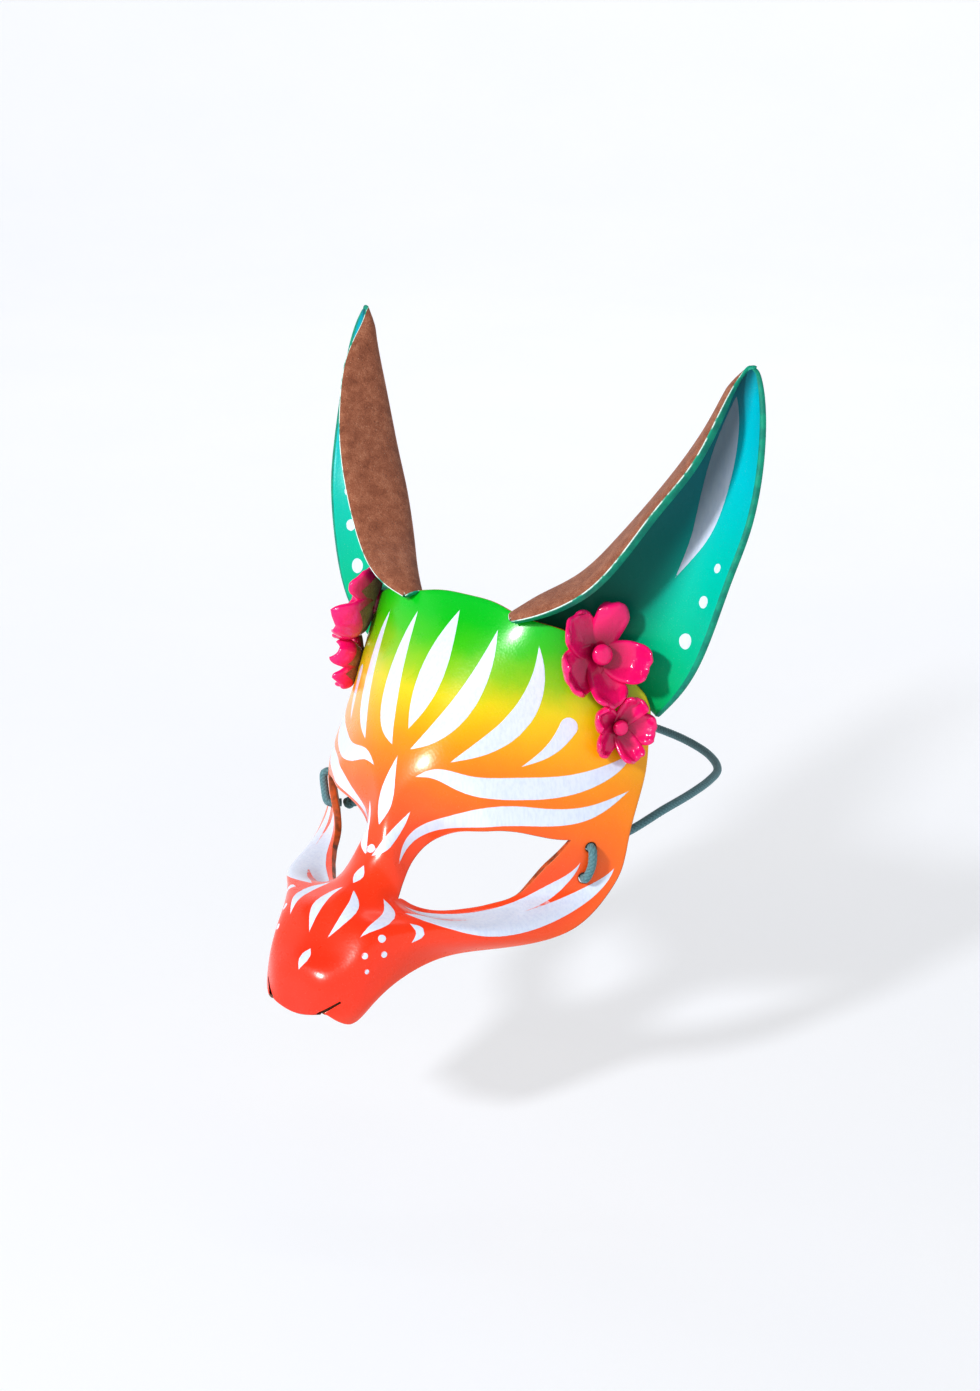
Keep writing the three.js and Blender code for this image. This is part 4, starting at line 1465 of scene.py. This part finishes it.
FLOWERS = (
    Flower("large", (0.739, 0.007), 0.86, (0.82, -0.5, 0.27), 42.0, 8.6, (
        Petal(338, 0.44, 0.4, 0.22, 0.45, 0.1, 4.2),
        Petal(68, 0.52, 0.32, 0.44, -0.5, -0.12, -2.0),
        Petal(130, 0.5, 0.44, 0.3, 0.15, 0.55, 0.5),
        Petal(205, 0.5, 0.46, 0.18, 0.45, -0.2, 4.6),
        Petal(275, 0.5, 0.42, 0.22, 0.35, -0.6, 2.0),
    )),
    Flower("small", (0.844, 0.097), 0.41, (0.86, -0.48, 0.17), 29.4, 6.4, (
        Petal(349, 0.5, 0.44, 0.22, 0.35, 0.0, 2.0),
        Petal(56, 0.46, 0.32, 0.3, 0.95, -0.25, 2.0),
        Petal(148, 0.46, 0.4, 0.26, 0.8, 0.2, 4.0),
        Petal(218, 0.48, 0.34, 0.22, 0.6, -0.6, 2.0),
        Petal(288, 0.5, 0.34, 0.24, 0.9, -0.2, 2.0),
    )),
)


@dataclass(frozen=True)
class Braid:
    """A round braided cord, with the length in which a strand goes once round it."""

    diameter: float
    lay_length: float
    strands: int = 5
    sides: int = 20

    def body(self, path: Array) -> Body:
        """The cord along a path.

        Args:
            path: Points of the middle line, evenly spaced, in millimetres.

        Returns:
            The cord, with the hollows between its strands among its facts; they set the painted shade
            between the strands.
        """
        along = unit(np.gradient(path, axis=0))
        first = unit(np.cross(along[0], (0.3, 0.2, 0.9)))
        aside = [first]
        for way in along[1:]:
            aside.append(unit(aside[-1] - way * (aside[-1] @ way)))
        aside = np.array(aside)
        over = np.cross(along, aside)
        turn = np.linspace(0, 2 * math.pi, self.sides, endpoint=False)[None, :]
        phase = 2 * math.pi * walked(strides(path))[:, None] / self.lay_length
        weave = np.abs(np.sin((self.strands * turn + phase * self.strands) / 2)
                       * np.sin((self.strands * turn - phase * self.strands) / 2))
        radius = self.diameter / 2 * (0.93 + 0.11 * weave ** 0.6)
        ring = aside[:, None] * np.cos(turn)[..., None] + over[:, None] * np.sin(turn)[..., None]
        points = path[:, None] + ring * radius[..., None]
        rings = np.arange(len(path) * self.sides).reshape(len(path), self.sides)
        faces = bands(rings) + [tuple(rings[0][::-1].tolist()), tuple(rings[-1].tolist())]
        # the hollow fact sets painted shade between the strands
        return Body(points.reshape(-1, 3), faces, [0] * len(faces), {"hollow": 1 - weave.ravel() ** 0.5})


@dataclass
class HeadCord:
    """The cord of the mask: the loop behind the head, a stitch and a knot on each side."""

    cord: Braid = Braid(CORD, 9.0)
    knotted: Braid = Braid(2.7, 7.0)
    knot_size: float = 0.78

    def stitch_path(self) -> list[Array]:
        """The cord's way out of the upper hole, over the leather and into the lower one."""
        lift = CORD / 2 + CLEARANCE
        above, below = np.array(HOLE_ABOVE), np.array(HOLE_BELOW)
        middle = (above + below) / 2
        near_above, near_below = (hole * 0.86 + middle * 0.14 for hole in (above, below))
        steps = ((above, -LEATHER - 1), (above, -LEATHER / 2), (above, lift * 0.45), (near_above, lift),
                 (middle, lift + 0.3), (near_below, lift), (below, lift * 0.45), (below, -LEATHER / 2),
                 (below, -LEATHER - 1))
        return [FACE.lifted(place[None], height)[0] for place, height in steps]

    def loop_path(self) -> list[Array]:
        """The cord's way from the left side round the back of the head to the right side."""
        inside_leather = LEATHER + CORD / 2
        steps = ((HOLE_ABOVE, -inside_leather - 1 - CLEARANCE), ((0.93, 0.345), -inside_leather - 1),
                 ((0.99, 0.335), -inside_leather - 0.8))
        left = [FACE.lifted(np.array([place]), height)[0] for place, height in steps]
        left += [np.array(point, float) for point in NAPE]
        return left + [point * (-1, 1, 1) for point in left[-2::-1]]

    def knot_path(self) -> Array:
        """A tight knot's middle line round its own centre."""
        turn = np.linspace(0, 2 * math.pi, 90)
        return np.stack([np.sin(turn) + 2 * np.sin(2 * turn), np.cos(turn) - 2 * np.cos(2 * turn),
                         -1.1 * np.sin(3 * turn)], axis=1) * self.knot_size

    def build(self) -> None:
        yarn = (YARN.material(),)
        route = smooth_line(self.loop_path(), 620)
        loop = ride(self.cord.body(route).placed("cord_behind_head", yarn), "cord", "head_cord")
        reach = LEATHER + 1 + CLEARANCE + CORD
        knot_centre = FACE.lifted(np.array([HOLE_BELOW]), -reach)[0]
        for side, way in (("left", 1), ("right", -1)):
            mirror = np.array([way, 1, 1])
            stitch = self.cord.body(smooth_line(np.array(self.stitch_path()) * mirror, 46))
            ride(stitch.placed(f"stitch_{side}", yarn), "cord", f"cord_stitch_{side}")
            knot = self.knotted.body((self.knot_path() + knot_centre) * mirror)
            ride(knot.placed(f"knot_{side}", yarn), "cord", f"cord_knot_{side}")
        start = (route[0] - SEAT) * MM
        ((route - SEAT) * MM).tolist()


@dataclass(frozen=True)
class Lamp:
    """A round area light: its place, the point it is turned to and its diameter in metres, and its watts."""

    name: str
    place: tuple[float, float, float]
    aim: tuple[float, float, float]
    watts: float
    size: float

    def build(self) -> None:
        """Adds the light."""
        data = bpy.data.lights.new(self.name, "AREA")
        data.shape = "DISK"
        data.size = self.size
        data.energy = self.watts
        lamp = bpy.data.objects.new(self.name, data)
        lamp.location = self.place
        lamp.rotation_euler = (Vector(self.aim) - Vector(self.place)).to_track_quat("-Z", "Y").to_euler()
        bpy.context.scene.collection.objects.link(lamp)


LAMPS = (
    Lamp("key", (-0.23, -1.62, 1.15), (0.0, 0.0, 0.02), 31.5, 0.24),
    Lamp("backdrop", (-0.5, 0.9, 1.5), (-1.0, 2.2, 0.3), 15.0, 1.2),
)


@dataclass
class Studio:
    """The camera of the photograph, a pale floor that sweeps up behind, and soft light.

    The floor's height is in millimetres in the frame of the solids' source, its other sizes in metres.
    """

    azimuth: float = 37.0
    elevation: float = 20.0
    distance: float = 1029.6
    focal_pixels: float = 2574.0
    frame_pixels: tuple[int, int] = (980, 1391)
    anchor_pixel: tuple[float, float] = (387.9, 788.4)
    floor_height: float = -148.0
    floor_radius: float = 1.9
    sweep: float = 0.9
    backdrop_top: float = 2.6
    sky: Colour = (246, 249, 255)
    sky_strength: float = 0.12
    gamma: float = 0.85

    def camera(self) -> bpy.types.Object:
        """Places the camera so that the point between the brows falls where the photograph has it."""
        a, e = math.radians(self.azimuth), math.radians(self.elevation)
        back = np.array([math.sin(a) * math.cos(e), -math.cos(a) * math.cos(e), math.sin(e)])
        right = np.array([math.cos(a), math.sin(a), 0.0])
        up = np.cross(back, right)
        width, height = self.frame_pixels
        aside = (self.anchor_pixel[0] - width / 2) / self.focal_pixels
        over = (height / 2 - self.anchor_pixel[1]) / self.focal_pixels
        place = back * self.distance - (right * aside + up * over) * self.distance
        data = bpy.data.cameras.new("camera")
        data.sensor_width = 36.0
        data.lens = data.sensor_width * self.focal_pixels / height
        data.clip_start, data.clip_end = 0.05, 20.0
        camera = bpy.data.objects.new("camera", data)
        turn = Matrix(np.stack([right, up, back], axis=1).tolist()).to_4x4()
        camera.matrix_world = Matrix.Translation((place - SEAT) * MM) @ turn
        bpy.context.scene.collection.objects.link(camera)
        bpy.context.scene.camera = camera
        return camera

    def floor(self) -> bpy.types.Object:
        """A pale floor that curves up into a backdrop on all sides."""
        low = (self.floor_height - SEAT[2]) * MM
        turn = np.linspace(0, 2 * math.pi, 96, endpoint=False)
        flat, bend = self.floor_radius, self.sweep
        profile = [(0.4, 0.0), (1.2, 0.0), (flat, 0.0)]
        for angle in np.radians((18, 36, 54, 72, 90)):
            profile.append((flat + bend * math.sin(angle), bend - bend * math.cos(angle)))
        profile.append((flat + bend, self.backdrop_top))
        points = [(r * math.cos(t), r * math.sin(t), low + height) for r, height in profile for t in turn]
        rings = 1 + np.arange(len(points)).reshape(len(profile), len(turn))
        faces = fan(0, rings[0]) + bands(rings[::-1])
        mesh = bpy.data.meshes.new("floor")
        mesh.from_pydata([(0.0, 0.0, low), *points], [], faces)
        mesh.materials.append(BOARD.material())
        mesh.shade_smooth()
        floor = bpy.data.objects.new("floor", mesh)
        bpy.context.scene.collection.objects.link(floor)
        return floor

    def build(self) -> None:
        """Sets up the floor, lights and colour handling."""
        self.floor()
        for lamp in LAMPS:
            lamp.build()
        world = bpy.data.worlds.new("studio")
        world.use_nodes = True
        sky = world.node_tree.nodes["Background"]
        sky.inputs["Color"].default_value = linear(self.sky)
        sky.inputs["Strength"].default_value = self.sky_strength
        scene = bpy.context.scene
        scene.world = world
        scene.view_settings.view_transform = "Standard"
        scene.view_settings.gamma = self.gamma


def main() -> None:
    """Builds the mask from its sub-assemblies and sets the stage."""
    logging.basicConfig(level=logging.INFO, format="%(name)s: %(message)s")
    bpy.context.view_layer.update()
    studio = Studio()
    studio.camera()
    HeadCord().build()
    face = FaceLeather()
    face.build()
    Ear(face).build()
    for flower in FLOWERS:
        flower.build()
    studio.build()


if __name__ == "__main__":
    main()
